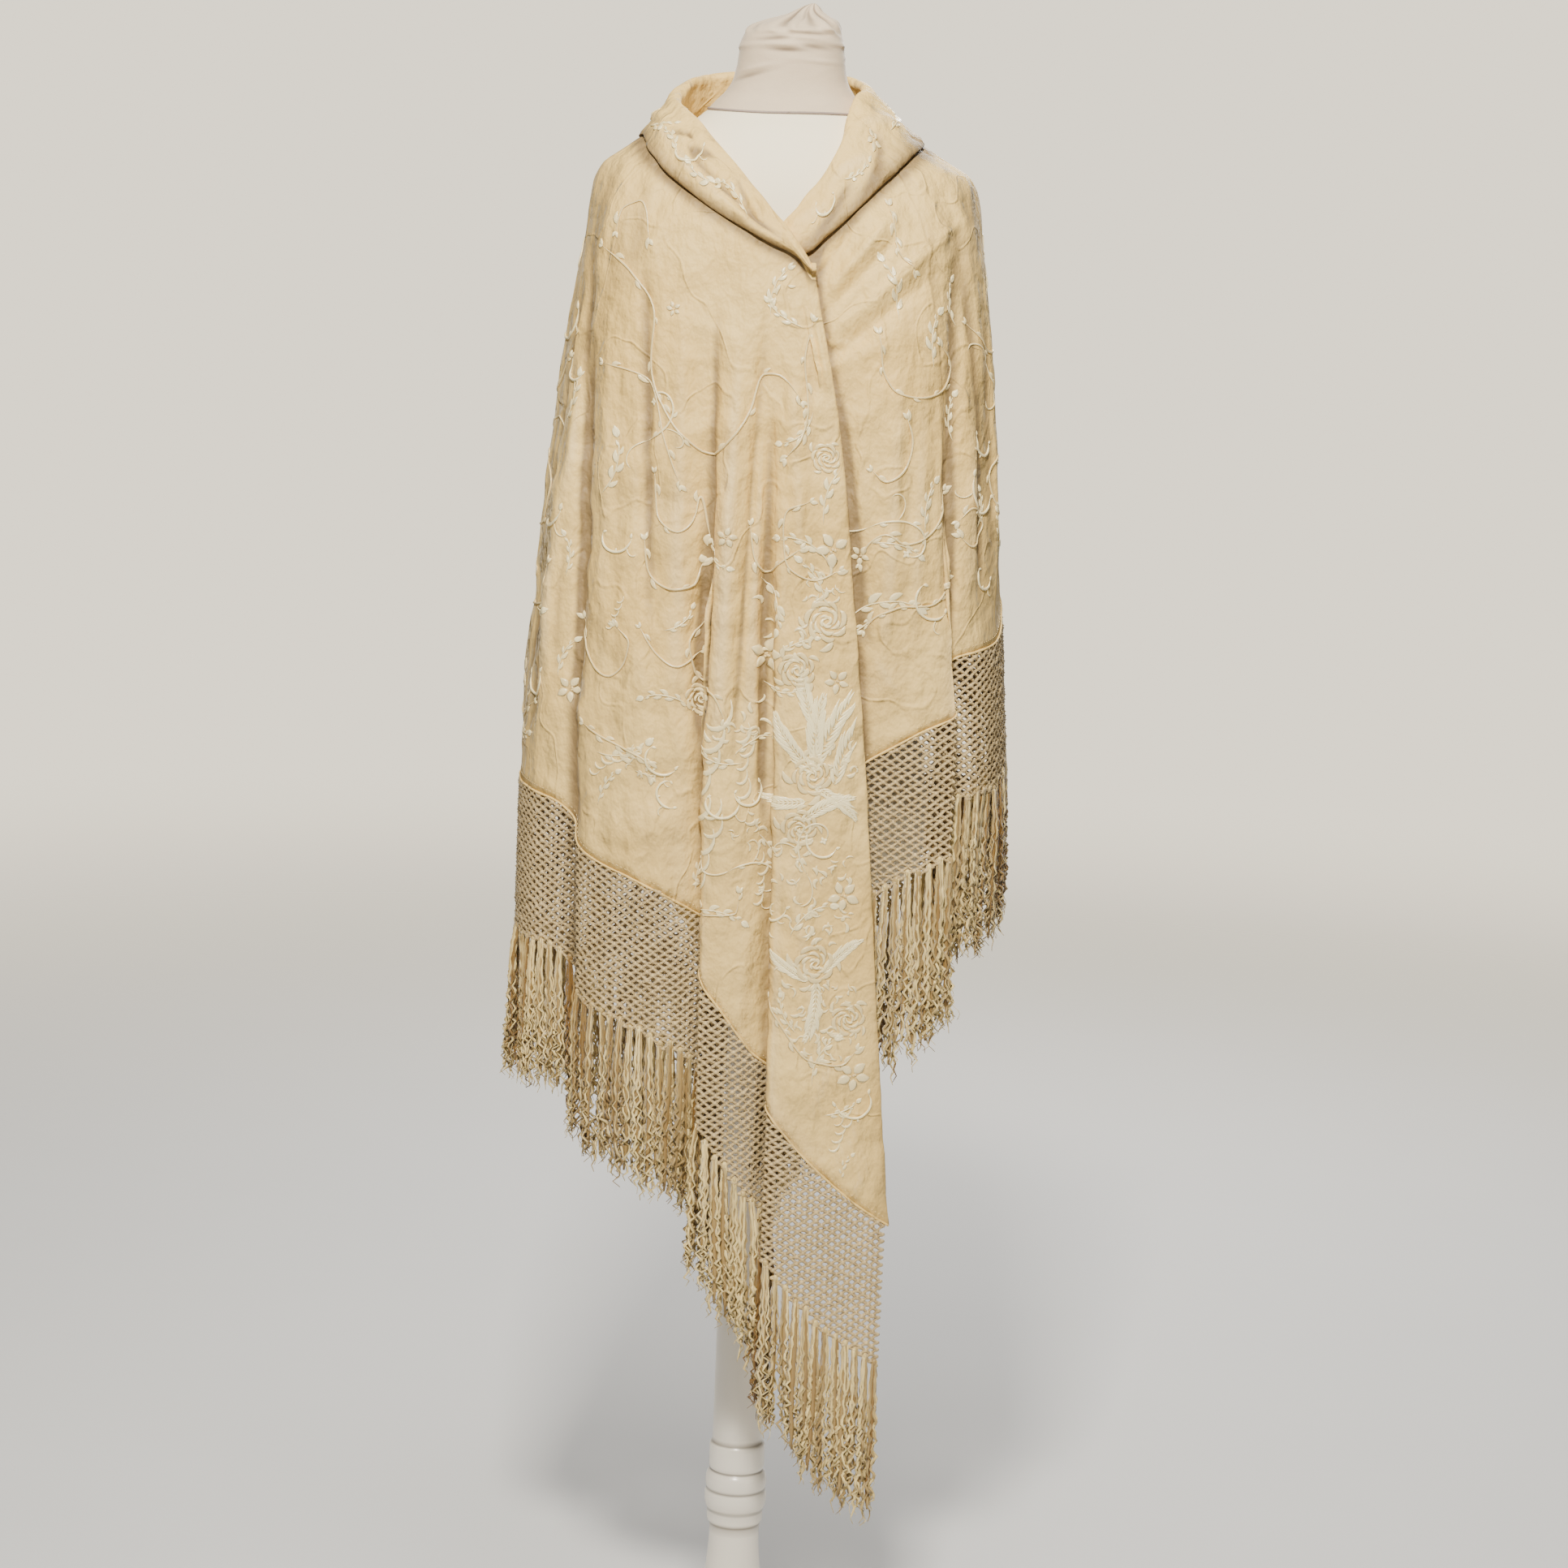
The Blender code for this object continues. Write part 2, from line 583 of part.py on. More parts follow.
def build():
    for old in list(bpy.data.objects):
        bpy.data.objects.remove(old, do_unlink=True)
    collection = bpy.data.collections.new("piano_shawl_on_dress_form")
    bpy.context.scene.collection.children.link(collection)

    silk = material("silk_crepe", (0.72, 0.62, 0.44), 0.6)
    thread = material("silk_thread", (0.58, 0.46, 0.28), 0.5)
    cover = material("neck_cloth", (0.62, 0.54, 0.47), 0.8)
    canvas = material("torso_cloth", (0.83, 0.78, 0.66), 0.85)
    paint = material("white_paint", (0.85, 0.85, 0.84), 0.35)

    add_turned("stand_base", BASE_PROFILE, paint, collection)
    add_turned("stand_column", COLUMN_PROFILE, paint, collection)
    add_lofted("form_torso", TORSO, TORSO_SIDES, canvas, collection)
    add_lofted("form_neck_cover", NECK_COVER, NECK_SIDES, cover, collection)

    walks = {"left_front": front_walk(LEFT_FRONT), "back": back_walk(), "right_front": front_walk(RIGHT_FRONT)}
    for name, rows, net_depth, first_strand, last_strand, seed in PANELS["rows"]:
        walk = parted_at_seam(walks[name])
        strands = (first_strand, last_strand)
        add_wall("shawl_" + name, panel_grid(walk, rows), CLOTH_WALL, silk, collection)
        add_wall("net_" + name, net_grid(walk, net_depth), NET_WALL, thread, collection)
        add_fringe("fringe_" + name, walk, net_depth, strands, seed, thread, collection)
    add_wall("shawl_collar", collar_grid(), COLLAR_WALL, silk, collection)


build()
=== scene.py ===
"""Piano shawl on its dress form, dressed for a picture: silk, embroidery, netting, tassels and stand."""

import bpy
import numpy as np
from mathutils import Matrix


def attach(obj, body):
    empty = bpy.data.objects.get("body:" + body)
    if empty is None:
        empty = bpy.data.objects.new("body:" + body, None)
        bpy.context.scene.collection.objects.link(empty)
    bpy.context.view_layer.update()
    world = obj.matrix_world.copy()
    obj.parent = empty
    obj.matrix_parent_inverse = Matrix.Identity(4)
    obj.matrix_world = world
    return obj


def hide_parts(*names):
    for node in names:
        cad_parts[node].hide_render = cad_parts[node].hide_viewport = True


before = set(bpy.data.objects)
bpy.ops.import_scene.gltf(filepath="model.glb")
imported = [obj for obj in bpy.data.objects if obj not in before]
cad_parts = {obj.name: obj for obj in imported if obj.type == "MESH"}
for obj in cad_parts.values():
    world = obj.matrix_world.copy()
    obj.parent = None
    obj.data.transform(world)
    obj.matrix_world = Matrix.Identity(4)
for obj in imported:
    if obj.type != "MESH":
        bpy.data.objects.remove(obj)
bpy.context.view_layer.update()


# The studio: a camera at eye height that looks down ten degrees, a pale floor that fades into a pale
# backdrop, and soft lights: a strong one high in front, weak ones to both sides, one overhead and one behind.
def unit(way):
    """Vectors of length one: v / |v| along the last axis."""
    return way / np.maximum(np.linalg.norm(way, axis=-1, keepdims=True), 1e-12)


def stand_at(thing, right, up, place):
    """Puts a camera or a lamp in the scene: x to its right, y up, and it looks along minus z."""
    turned = np.eye(4)
    turned[:3] = np.stack([right, up, np.cross(right, up), place], axis=1)
    thing.matrix_world = turned.T.tolist()
    bpy.context.scene.collection.objects.link(thing)


pitch = np.radians(10.0)
lean = np.radians(2.3)
level_right = np.array([1.0, 0.0, 0.0])
level_up = np.array([0.0, np.sin(pitch), np.cos(pitch)])
lens = bpy.data.cameras.new("camera")
lens.sensor_width = 36
lens.lens = 93.65
camera = bpy.data.objects.new("camera", lens)
view_right = level_right * np.cos(lean) + level_up * np.sin(lean)
view_up = level_up * np.cos(lean) - level_right * np.sin(lean)
stand_at(camera, view_right, view_up, (0.021, -4.05, 1.66))
bpy.context.scene.camera = camera


class Wire:
    """A shader socket that does sums: each +, - or * on it adds one Math node."""

    def __init__(self, tree, socket=None):
        self.tree = tree
        self.socket = socket

    def node(self, kind, settings, inputs, output=0):
        """Adds a node of one kind: its settings first, then a value or a wire for each named socket."""
        made = self.tree.nodes.new(kind)
        for name, value in settings.items():
            setattr(made, name, value)
        for name, value in inputs.items():
            if isinstance(value, Wire):
                self.tree.links.new(value.socket, made.inputs[name])
            else:
                made.inputs[name].default_value = value
        return Wire(self.tree, made.outputs[output])

    def sum(self, operation, first, second):
        return self.node("ShaderNodeMath", {"operation": operation}, {0: first, 1: second})

    def __add__(self, other):
        return self.sum("ADD", self, other)

    __radd__ = __add__

    def __sub__(self, other):
        return self.sum("SUBTRACT", self, other)

    def __rsub__(self, other):
        return self.sum("SUBTRACT", other, self)

    def __mul__(self, other):
        return self.sum("MULTIPLY", self, other)

    __rmul__ = __mul__

    def place(self):
        """Object coordinates, in metres."""
        return self.node("ShaderNodeTexCoord", {}, {}, "Object")

    def threadway(self):
        """The piece's own UV map, in metres along and across its threads."""
        return self.node("ShaderNodeTexCoord", {}, {}, "UV")

    def held(self, name):
        """A value that the mesh holds at each point."""
        return self.node("ShaderNodeAttribute", {"attribute_name": name}, {}, "Fac")

    def spread(self, along, across, up=1.0):
        """Coordinates drawn out along each axis."""
        return self.node("ShaderNodeMapping", {}, {"Vector": self, "Scale": (along, across, up)})

    def mottle(self, scale, detail=3.0):
        """Soft noise from 0 to 1 on these coordinates."""
        return self.node("ShaderNodeTexNoise", {}, {"Vector": self, "Scale": scale, "Detail": detail})

    def between(self, low, high):
        """0 below low, 1 above high, and a soft step between."""
        settings = {"interpolation_type": "SMOOTHSTEP"}
        return self.node("ShaderNodeMapRange", settings, {"Value": self, "From Min": low, "From Max": high})

    def tint(self, low, high):
        """The colour low where this is 0 and high where it is 1."""
        return self.node("ShaderNodeMix", {"data_type": "RGBA"}, {0: self, 6: low, 7: high}, 2)

    def relief(self, strength, depth, under=None):
        """A bump of this height; under is a bump that it lies on."""
        inputs = {"Height": self, "Strength": strength, "Distance": depth}
        if under is not None:
            inputs["Normal"] = under
        return self.node("ShaderNodeBump", {}, inputs)


def finish(name, constants):
    """A named material and its wire; constants go straight onto the shader's own sockets."""
    made = bpy.data.materials.new(name)
    made.use_nodes = True
    shader = made.node_tree.nodes["Principled BSDF"]
    for socket, value in constants.items():
        shader.inputs[socket].default_value = value
    return made, Wire(made.node_tree)


def feed(made, **wires):
    """Links wires into the shader: base_color, roughness, alpha and normal."""
    shader = made.node_tree.nodes["Principled BSDF"]
    for name, wire in wires.items():
        made.node_tree.links.new(wire.socket, shader.inputs[name.replace("_", " ").title()])


def add_piece(name, points, faces, made, uv=None, held=None):
    """A piece in the frame's metres: numpy points, face lists, its material, and values at its points."""
    mesh = bpy.data.meshes.new(name)
    mesh.from_pydata(points.reshape(-1, 3).tolist(), [], faces)
    corner = np.empty(len(mesh.loops), int)
    mesh.loops.foreach_get("vertex_index", corner)
    if uv is not None:
        layer = mesh.uv_layers.new(name="thread")
        layer.data.foreach_set("uv", uv.reshape(-1, 2)[corner].ravel())
    for key, values in (held or {}).items():
        mesh.attributes.new(key, "FLOAT", "POINT").data.foreach_set("value", values.ravel())
    mesh.shade_smooth()
    mesh.materials.append(made)
    piece = bpy.data.objects.new(name, mesh)
    bpy.context.scene.collection.objects.link(piece)
    return piece


paper, wire = finish("backdrop_paper", {"Roughness": 0.9, "Base Color": (0.66, 0.655, 0.64, 1)})
away = wire.node("ShaderNodeVectorMath", {"operation": "LENGTH"}, {0: wire.place()}, "Value")
grain = wire.place().mottle(3.0)
feed(
    paper,
    base_color=grain.tint((0.65, 0.645, 0.63, 1), (0.68, 0.675, 0.66, 1)),
    alpha=1 - away.between(1.6, 5.5),
)
floor_corners = np.array([[-7.0, -7.0, 0.0], [7.0, -7.0, 0.0], [7.0, 7.0, 0.0], [-7.0, 7.0, 0.0]])
floor = add_piece("studio_floor", floor_corners, [[0, 1, 2, 3]], paper)

world = bpy.data.worlds.new("studio")
world.use_nodes = True
backdrop = Wire(world.node_tree)
seen = backdrop.node("ShaderNodeLightPath", {}, {}, "Is Camera Ray")
glow = seen.tint((0.06, 0.062, 0.064, 1), (1.66, 1.50, 1.20, 1))
world.node_tree.links.new(glow.socket, world.node_tree.nodes["Background"].inputs["Color"])
bpy.context.scene.world = world
for name, place, side, power, warmth in (
    ("front_softbox", (-0.25, -3.0, 3.9), 0.45, 325, (1.0, 0.95, 0.85)),
    ("right_softbox", (2.9, -1.7, 1.9), 1.0, 5, (1.0, 0.96, 0.90)),
    ("left_softbox", (-2.9, -1.5, 2.2), 1.0, 5, (1.0, 0.96, 0.90)),
    ("overhead_softbox", (0.2, -0.9, 3.7), 0.7, 30, (1.0, 0.97, 0.92)),
    ("back_softbox", (0.6, 3.0, 2.4), 1.4, 130, (1.0, 0.98, 0.95)),
):
    lamp = bpy.data.lights.new(name, "AREA")
    lamp.energy = power
    lamp.size = side
    lamp.color = warmth
    back = unit(np.array(place) - (0.0, 0.0, 1.1))
    sideways = unit(np.cross([0, 0, 1], back))
    stand_at(bpy.data.objects.new(name, lamp), sideways, np.cross(back, sideways), place)


# The stand: a round base and a column, both turned from wood on a lathe and painted white in semi-gloss.
# The column is glued into the base and goes up into the torso.
def smooth(at, known_at, known):
    """The monotone cubic y(x) through known points: hermite pieces with harmonic-mean tangents."""
    order = np.argsort(known_at)
    x = np.asarray(known_at, float)[order]
    y = np.asarray(known, float)[order]
    step = np.diff(x)
    slope = np.diff(y) / step
    tangent = np.zeros(len(x))
    same_way = slope[1:] * slope[:-1] > 0
    tangent[1:-1][same_way] = 2 / (1 / slope[1:][same_way] + 1 / slope[:-1][same_way])
    tangent[0] = slope[0]
    tangent[-1] = slope[-1]
    at = np.clip(at, x[0], x[-1])
    i = np.clip(np.searchsorted(x, at) - 1, 0, len(step) - 1)
    t = (at - x[i]) / step[i]
    ends = y[i] * (1 + 2 * t) * (1 - t) ** 2 + y[i + 1] * t**2 * (3 - 2 * t)
    return ends + step[i] * (tangent[i] * t * (1 - t) ** 2 - tangent[i + 1] * t**2 * (1 - t))


def run_of(points):
    """How far along a line each of its points lies."""
    return np.concatenate([[0], np.cumsum(np.linalg.norm(np.diff(points, axis=0), axis=-1))])


def round_turn(sides):
    """Even angles once round."""
    return np.linspace(0, 2 * np.pi, sides, endpoint=False)


def about(radius, turn, height, middle=0):
    """Points (m + r sin a, -r cos a, z) round an upright line."""
    return np.stack([middle + radius * np.sin(turn), -radius * np.cos(turn), height + 0 * turn], axis=-1)


def grid_faces(corner):
    """Quads of a grid of point numbers whose rows run downwards and whose columns turn to the right."""
    quads = np.stack([corner[:-1, :-1], corner[1:, :-1], corner[1:, 1:], corner[:-1, 1:]], axis=-1)
    return quads.reshape(-1, 4).tolist()


def capped_rings(rings, sides):
    """Quads between rings of points, and a flat cap at the top and at the bottom."""
    corner = np.arange(rings * sides).reshape(rings, sides)
    sleeve = grid_faces(np.concatenate([corner, corner[:, :1]], axis=1))
    return sleeve + [corner[0].tolist(), corner[-1, ::-1].tolist()]


def turn_piece(name, profile, sides, made):
    """Turned wood: (r(t) sin a, -r(t) cos a, z(t)), the profile a cubic through its known places.

    Each point holds painted shade for the grooves: how far it lies inside the mean radius of the wood close
    by.
    """
    known = np.array(profile) / 10000
    run = run_of(known)
    at = np.unique(np.concatenate([run, np.linspace(0, run[-1], 3 * len(known))]))
    radius = smooth(at, run, known[:, 0])[:, None]
    height = smooth(at, run, known[:, 1])[:, None]
    near = np.abs(at[:, None] - at) < GROOVE_REACH
    groove = (near @ radius)[:, 0] / near.sum(axis=1) - radius[:, 0]
    held = {"painted_shading": np.repeat(np.clip(groove / GROOVE_DEPTH, 0, 1), sides)}
    points = about(radius, round_turn(sides)[None, :], height)
    return add_piece(name, points, capped_rings(len(at), sides), made, held=held)


paint, wire = finish("white_paint", {"Roughness": 0.34, "Coat Weight": 0.25, "Coat Roughness": 0.2})
brushed = wire.place().spread(1, 1, 0.25).mottle(60.0, 2.0)
scuffed = wire.place().mottle(9.0, 4.0).between(0.56, 0.74)
# The grooves of the turned wood are coloured darker: painted shade.
feed(
    paint,
    base_color=wire.held("painted_shading").tint(
        scuffed.tint((0.78, 0.73, 0.64, 1), (0.64, 0.58, 0.48, 1)),
        (0.24, 0.21, 0.17, 1),
    ),
    roughness=0.3 + scuffed * 0.2,
    normal=brushed.relief(0.25, 0.0006),
)
BASE_SIDES = 96
COLUMN_SIDES = 64
GROOVE_REACH = 0.007
GROOVE_DEPTH = 0.0012
# Radius and height along each profile, in tenths of a millimetre.
BASE_PROFILE = (
    (20, 255), (400, 256), (1200, 255), (1500, 250), (1610, 228), (1655, 180), (1662, 160), (1700, 152),
    (1742, 118), (1750, 70), (1742, 30), (1710, 0), (1000, 0), (20, 0),
)
COLUMN_PROFILE = (
    (50, 8597), (260, 8595), (260, 8500), (260, 2600), (262, 2535), (284, 2512), (287, 2480), (287, 2290),
    (284, 2262), (266, 2238), (276, 2225), (302, 2195), (318, 2110), (312, 2060), (301, 2030), (312, 2008),
    (321, 1980), (320, 1900), (304, 1838), (288, 1816), (286, 1800), (289, 1780), (289, 1712), (286, 1688),
    (264, 1655), (258, 1560), (270, 1320), (300, 1060), (342, 840), (360, 700), (348, 580), (314, 470),
    (292, 412), (300, 390), (380, 342), (400, 310), (400, 262), (390, 258), (50, 258),
)
base = turn_piece("turned_base", BASE_PROFILE, BASE_SIDES, paint)
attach(base, "root")
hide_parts("stand_base")
column = turn_piece("turned_column", COLUMN_PROFILE, COLUMN_SIDES, paint)
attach(column, "root")
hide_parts("stand_column")


# The torso: papier-mache, padded and covered in a smooth ivory stretch cloth, with a bound lower edge.
# Only the chest shows in the shawl's opening, and its lower edge between the tassels.
FORM_POWER = 2.2
TORSO_RINGS = 90
TORSO_SIDES = 96
TORSO_FOOT = 0.8600
# Height, middle, and reach to the side, the front and the back, in tenths of a millimetre.
TORSO = (
    (8600, 0, 1515, 995, 1055), (8680, 0, 1595, 1065, 1135), (9100, 0, 1655, 1115, 1195),
    (9800, 0, 1595, 1075, 1135), (10600, 0, 1335, 915, 945), (11400, 0, 1175, 845, 845),
    (12200, 0, 1225, 955, 895), (13000, 0, 1395, 1195, 965), (13600, 0, 1535, 1255, 1025),
    (14300, 0, 1655, 1155, 1095), (14900, 0, 1765, 1055, 1125), (15350, 0, 1810, 955, 1095),
    (15560, 0, 1680, 885, 1035), (15710, 0, 1460, 815, 975), (15870, 0, 1222, 716, 875),
    (16010, 0, 975, 618, 748), (16090, 0, 838, 579, 658), (16135, 0, 799, 569, 619),
)


def body_rings(table, z, turn):
    """A rounded body: r(a) = (|sin a / side|^p + |cos a / half_y|^p)^(-1/p) round a centre line x(z)."""
    known_z, *known = np.array(table).T / 10000
    middle, side, front, back = (smooth(z, known_z, values) for values in known)
    half_y = np.where(np.cos(turn) > 0, front, back)
    along = np.abs(np.sin(turn) / side) ** FORM_POWER + np.abs(np.cos(turn) / half_y) ** FORM_POWER
    return middle, along ** (-1 / FORM_POWER)


turn = round_turn(TORSO_SIDES)[None, :]
height = np.linspace(1.6135, TORSO_FOOT, TORSO_RINGS)[:, None]
middle, radius = body_rings(TORSO, height, turn)
binding = np.clip(1 - np.abs(height - TORSO_FOOT - 0.009) / 0.0065, 0, 1) ** 0.5
chest = about(radius + 0.0012 * binding, turn, height, middle)
jersey, wire = finish("torso_cloth", {"Roughness": 0.85, "Sheen Weight": 0.25, "Sheen Roughness": 0.5})
knit = wire.place().spread(1, 1, 1.6).mottle(900.0, 1.0)
aged = wire.place().mottle(14.0, 3.0)
feed(
    jersey,
    base_color=aged.tint((0.94, 0.84, 0.61, 1), (0.97, 0.89, 0.68, 1)),
    normal=knit.relief(0.35, 0.0005, aged.relief(0.25, 0.002)),
)
torso = add_piece("padded_torso", chest, capped_rings(TORSO_RINGS, TORSO_SIDES), jersey)
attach(torso, "root")
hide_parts("form_torso")


# The neck cover: a tube of pale mauve-grey cotton drawn over the neck, gathered on top and twisted into
# a small tuft, with a piped seam where it meets the torso.
NECK_RINGS = 74
NECK_SIDES = 150
NECK_FOOT = 1.6142
# As for the torso.
NECK = (
    (16138, 0, 800, 570, 620), (16220, 0, 730, 545, 580), (16330, 0, 625, 510, 540),
    (16450, 0, 560, 490, 520), (16600, 0, 530, 480, 505), (16780, 0, 505, 465, 490),
    (16880, 10, 480, 445, 465), (16960, 30, 420, 390, 410), (17020, 70, 330, 290, 300),
    (17075, 120, 215, 170, 180), (17120, 160, 135, 100, 100), (17160, 200, 85, 60, 60),
    (17195, 230, 22, 20, 20),
)
# Wrinkles: plan angle, height in tenths of a mm, slant, half length in degrees, half height and depth in mm.
NECK_WRINKLES = (
    (-8, 16795, 0.02, 26, 2.6, 1.3), (-6, 16740, -0.01, 22, 2.2, -1.2), (14, 16870, -0.1, 40, 2.8, 1.2),
    (-18, 16850, 0.12, 24, 2.4, -1), (24, 16780, -0.12, 22, 2.6, -1), (-40, 16560, 0.22, 20, 2, 0.8),
    (-48, 16480, 0.26, 22, 2.2, -0.8), (34, 16640, -0.05, 30, 2.4, 0.7), (4, 16935, 0.03, 46, 2, 1.5),
    (10, 16900, 0.02, 40, 1.8, -1.3), (70, 16800, -0.06, 30, 2.6, 1.1), (-76, 16760, 0.05, 30, 2.6, 1),
    (118, 16700, 0.06, 34, 2.6, 1), (150, 16820, -0.05, 34, 2.6, 1.2), (-140, 16780, 0.04, 38, 2.6, 1.2),
    (-118, 16600, -0.08, 26, 2.4, -0.9), (176, 16580, 0.05, 30, 2.4, -0.9),
)


def neck_cloth(turn, height):
    """The gathered cover: body rings + sum of wrinkle bells + pleats d * sin(8 a + 260 z) near the tuft."""
    middle, radius = body_rings(NECK, height, turn)
    degrees = np.degrees(turn)
    wrinkled = 0 * radius
    for angle, z, slant, long_half, high_half, depth in NECK_WRINKLES:
        away = (degrees - angle + 180) % 360 - 180
        drop = (height - z / 10000) * 1000 - slant * away * 0.9
        wrinkled = wrinkled + depth / 650 * np.exp(-((away / long_half) ** 2) - (drop / high_half) ** 2)
    radius = radius + wrinkled
    gathered = np.clip((height - 1.688) / 0.016, 0, 1)
    twist = turn * 8 + (height - 1.69) * 260
    pleat = 0.0015 * np.sin(twist) + 0.0009 * np.sin(1.6 * twist + 1.3)
    radius = radius * (1 + gathered * pleat / 0.012 * np.clip(radius / 0.03, 0.15, 1))
    lean_over = 0.0035 * gathered**2 * np.sin((height - 1.69) * 160)
    # Painted shade: each point is coloured darker where the wrinkles and pleats dip in.
    painted_dip_shade = np.clip(-(wrinkled + gathered * pleat * 0.8) / 0.0016, 0, 1)
    return about(radius, turn, height, middle + lean_over), painted_dip_shade


cotton, wire = finish("neck_cloth", {"Roughness": 0.78, "Sheen Weight": 0.3, "Sheen Roughness": 0.45})
weave = wire.place().mottle(1100.0, 1.0)
crumple = wire.place().spread(1, 1, 1.8).mottle(70.0, 3.0)
washed = wire.place().mottle(22.0).tint((0.62, 0.49, 0.34, 1), (0.73, 0.59, 0.41, 1))
# The cotton is coloured darker in the dips of its wrinkles: painted shade.
feed(
    cotton,
    base_color=wire.held("painted_shading").tint(washed, (0.26, 0.19, 0.12, 1)),
    normal=weave.relief(0.3, 0.0004, crumple.relief(0.35, 0.0016)),
)
covered, painted_dip_shade = neck_cloth(round_turn(NECK_SIDES)[None, :], np.linspace(1.7195, 1.6138, NECK_RINGS)[:, None])
cover = add_piece("neck_cover", covered, capped_rings(NECK_RINGS, NECK_SIDES), cotton, held={"painted_shading": painted_dip_shade})
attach(cover, "root")
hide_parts("form_neck_cover")


def along_tube(paths, wide, deep, facing, sides, start=0):
    """Rings along many paths at once: p + wide cos a * across + deep sin a * out, with out facing outwards.

    paths and facing are (n, rings, 3), wide and deep are (n, rings), and start is the first corner's angle.
    """
    ahead = unit(np.gradient(paths, axis=1))
    out = unit(facing - ahead * np.sum(facing * ahead, axis=-1, keepdims=True))
    across = np.cross(ahead, out)
    turn = (start + round_turn(sides))[None, None, :, None]
    return (
        paths[:, :, None, :]
        + wide[:, :, None, None] * np.cos(turn) * across[:, :, None, :]
        + deep[:, :, None, None] * np.sin(turn) * out[:, :, None, :]
    )


def tube_faces(count, rings, sides, first=0):
    """Quads round each of many tubes, and a flat cap at both ends of each; first is their first point."""
    corner = first + np.arange(count * rings * sides).reshape(count, rings, sides)
    after = np.roll(corner, -1, axis=2)
    quads = np.stack([corner[:, :-1], corner[:, 1:], after[:, 1:], after[:, :-1]], axis=-1)
    return quads.reshape(-1, 4).tolist() + corner[:, 0].tolist() + corner[:, -1, ::-1].tolist()


PIPING_RADIUS = 0.0013
PIPING_RINGS = 121
PIPING_SIDES = 8
turn = np.linspace(0, 2 * np.pi, PIPING_RINGS)[None, :]
_, radius = body_rings(NECK, np.full_like(turn, NECK_FOOT), turn)
piping_path = about(radius, turn, NECK_FOOT + 0.0006 * np.sin(3 * turn))
thick = np.full(turn.shape, PIPING_RADIUS)
piping, wire = finish("piping_cord", {"Roughness": 0.7})
feed(piping, base_color=wire.place().mottle(300.0).tint((0.27, 0.21, 0.18, 1), (0.36, 0.29, 0.25, 1)))
piping_points = along_tube(piping_path, thick, thick, about(1, turn, 0), PIPING_SIDES)
seam = add_piece("neck_piping", piping_points, tube_faces(1, PIPING_RINGS, PIPING_SIDES), piping)
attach(seam, "root")


# The shawl's cloth: a square of cream silk crepe folded on its diagonal, so that it hangs double. The
# fold is rolled over as a collar round the neck, the left front laps over the right one, and the rest falls
# in soft folds from the shoulders.
HIGH_Z = 1.45
MID_Z = 1.20
TURN_EASE = 1.6
SWELL_EASE = 1.3
RING_POWER = 2.3
COLLAR_STAND = 0.0140
COLLAR_EDGE_OUT = 0.008
BACK_START = 97.0
BACK_STOP = 262.0
BACK_RIDGE = 0.006
RIGHT_COLUMNS = 108
BACK_COLUMNS = 97
LEFT_COLUMNS = 176

# Height, then how far the cloth stands out to the left, right, front and back of the column, all in mm.
CLOTH_RINGS = (
    (1665, 94, 60, 26, 75), (1652, 97, 63, 35, 78), (1637, 102, 69, 45, 82), (1620, 107, 81, 55, 88),
    (1605, 116, 100, 64, 95), (1587, 139, 130, 80, 105), (1571, 163, 156, 93, 113),
    (1557, 181, 179, 104, 120), (1540, 189, 188, 115, 126), (1500, 194, 194, 140, 133),
    (1470, 198, 198, 147, 137), (1380, 209, 208, 160, 141), (1300, 216, 216, 167, 143),
    (1237, 222, 221, 171, 144), (1150, 228, 227, 173, 145), (1030, 239, 236, 172, 146),
    (930, 241, 242, 168, 145), (850, 241, 248, 163, 144), (700, 240, 248, 156, 142),
    (530, 238, 248, 151, 140), (200, 236, 248, 150, 138),
)
# Plan angle, then in mm the roll's height, the folded edge's height, and the roll's radius.
COLLAR = (
    (-6, 1490, 1472, 3.5), (1, 1514, 1477, 3.5), (10, 1537, 1485, 4), (16.5, 1550, 1500, 5),
    (31.6, 1584, 1530, 6), (50, 1616, 1562, 6), (70, 1636, 1583, 7), (90, 1640, 1590, 7),
    (120, 1646, 1588, 7), (150, 1651, 1578, 7), (180, 1652, 1568, 7), (215, 1651, 1570, 7),
    (245, 1642, 1578, 7), (262, 1632, 1584, 7), (277, 1622, 1587, 7), (298, 1606, 1569, 7),
    (310, 1594, 1551, 6.5), (330, 1569, 1523, 6), (345, 1544, 1505, 6), (354, 1523, 1494, 5),
    (364.5, 1500, 1482, 5), (370.5, 1474, 1466, 4),
)
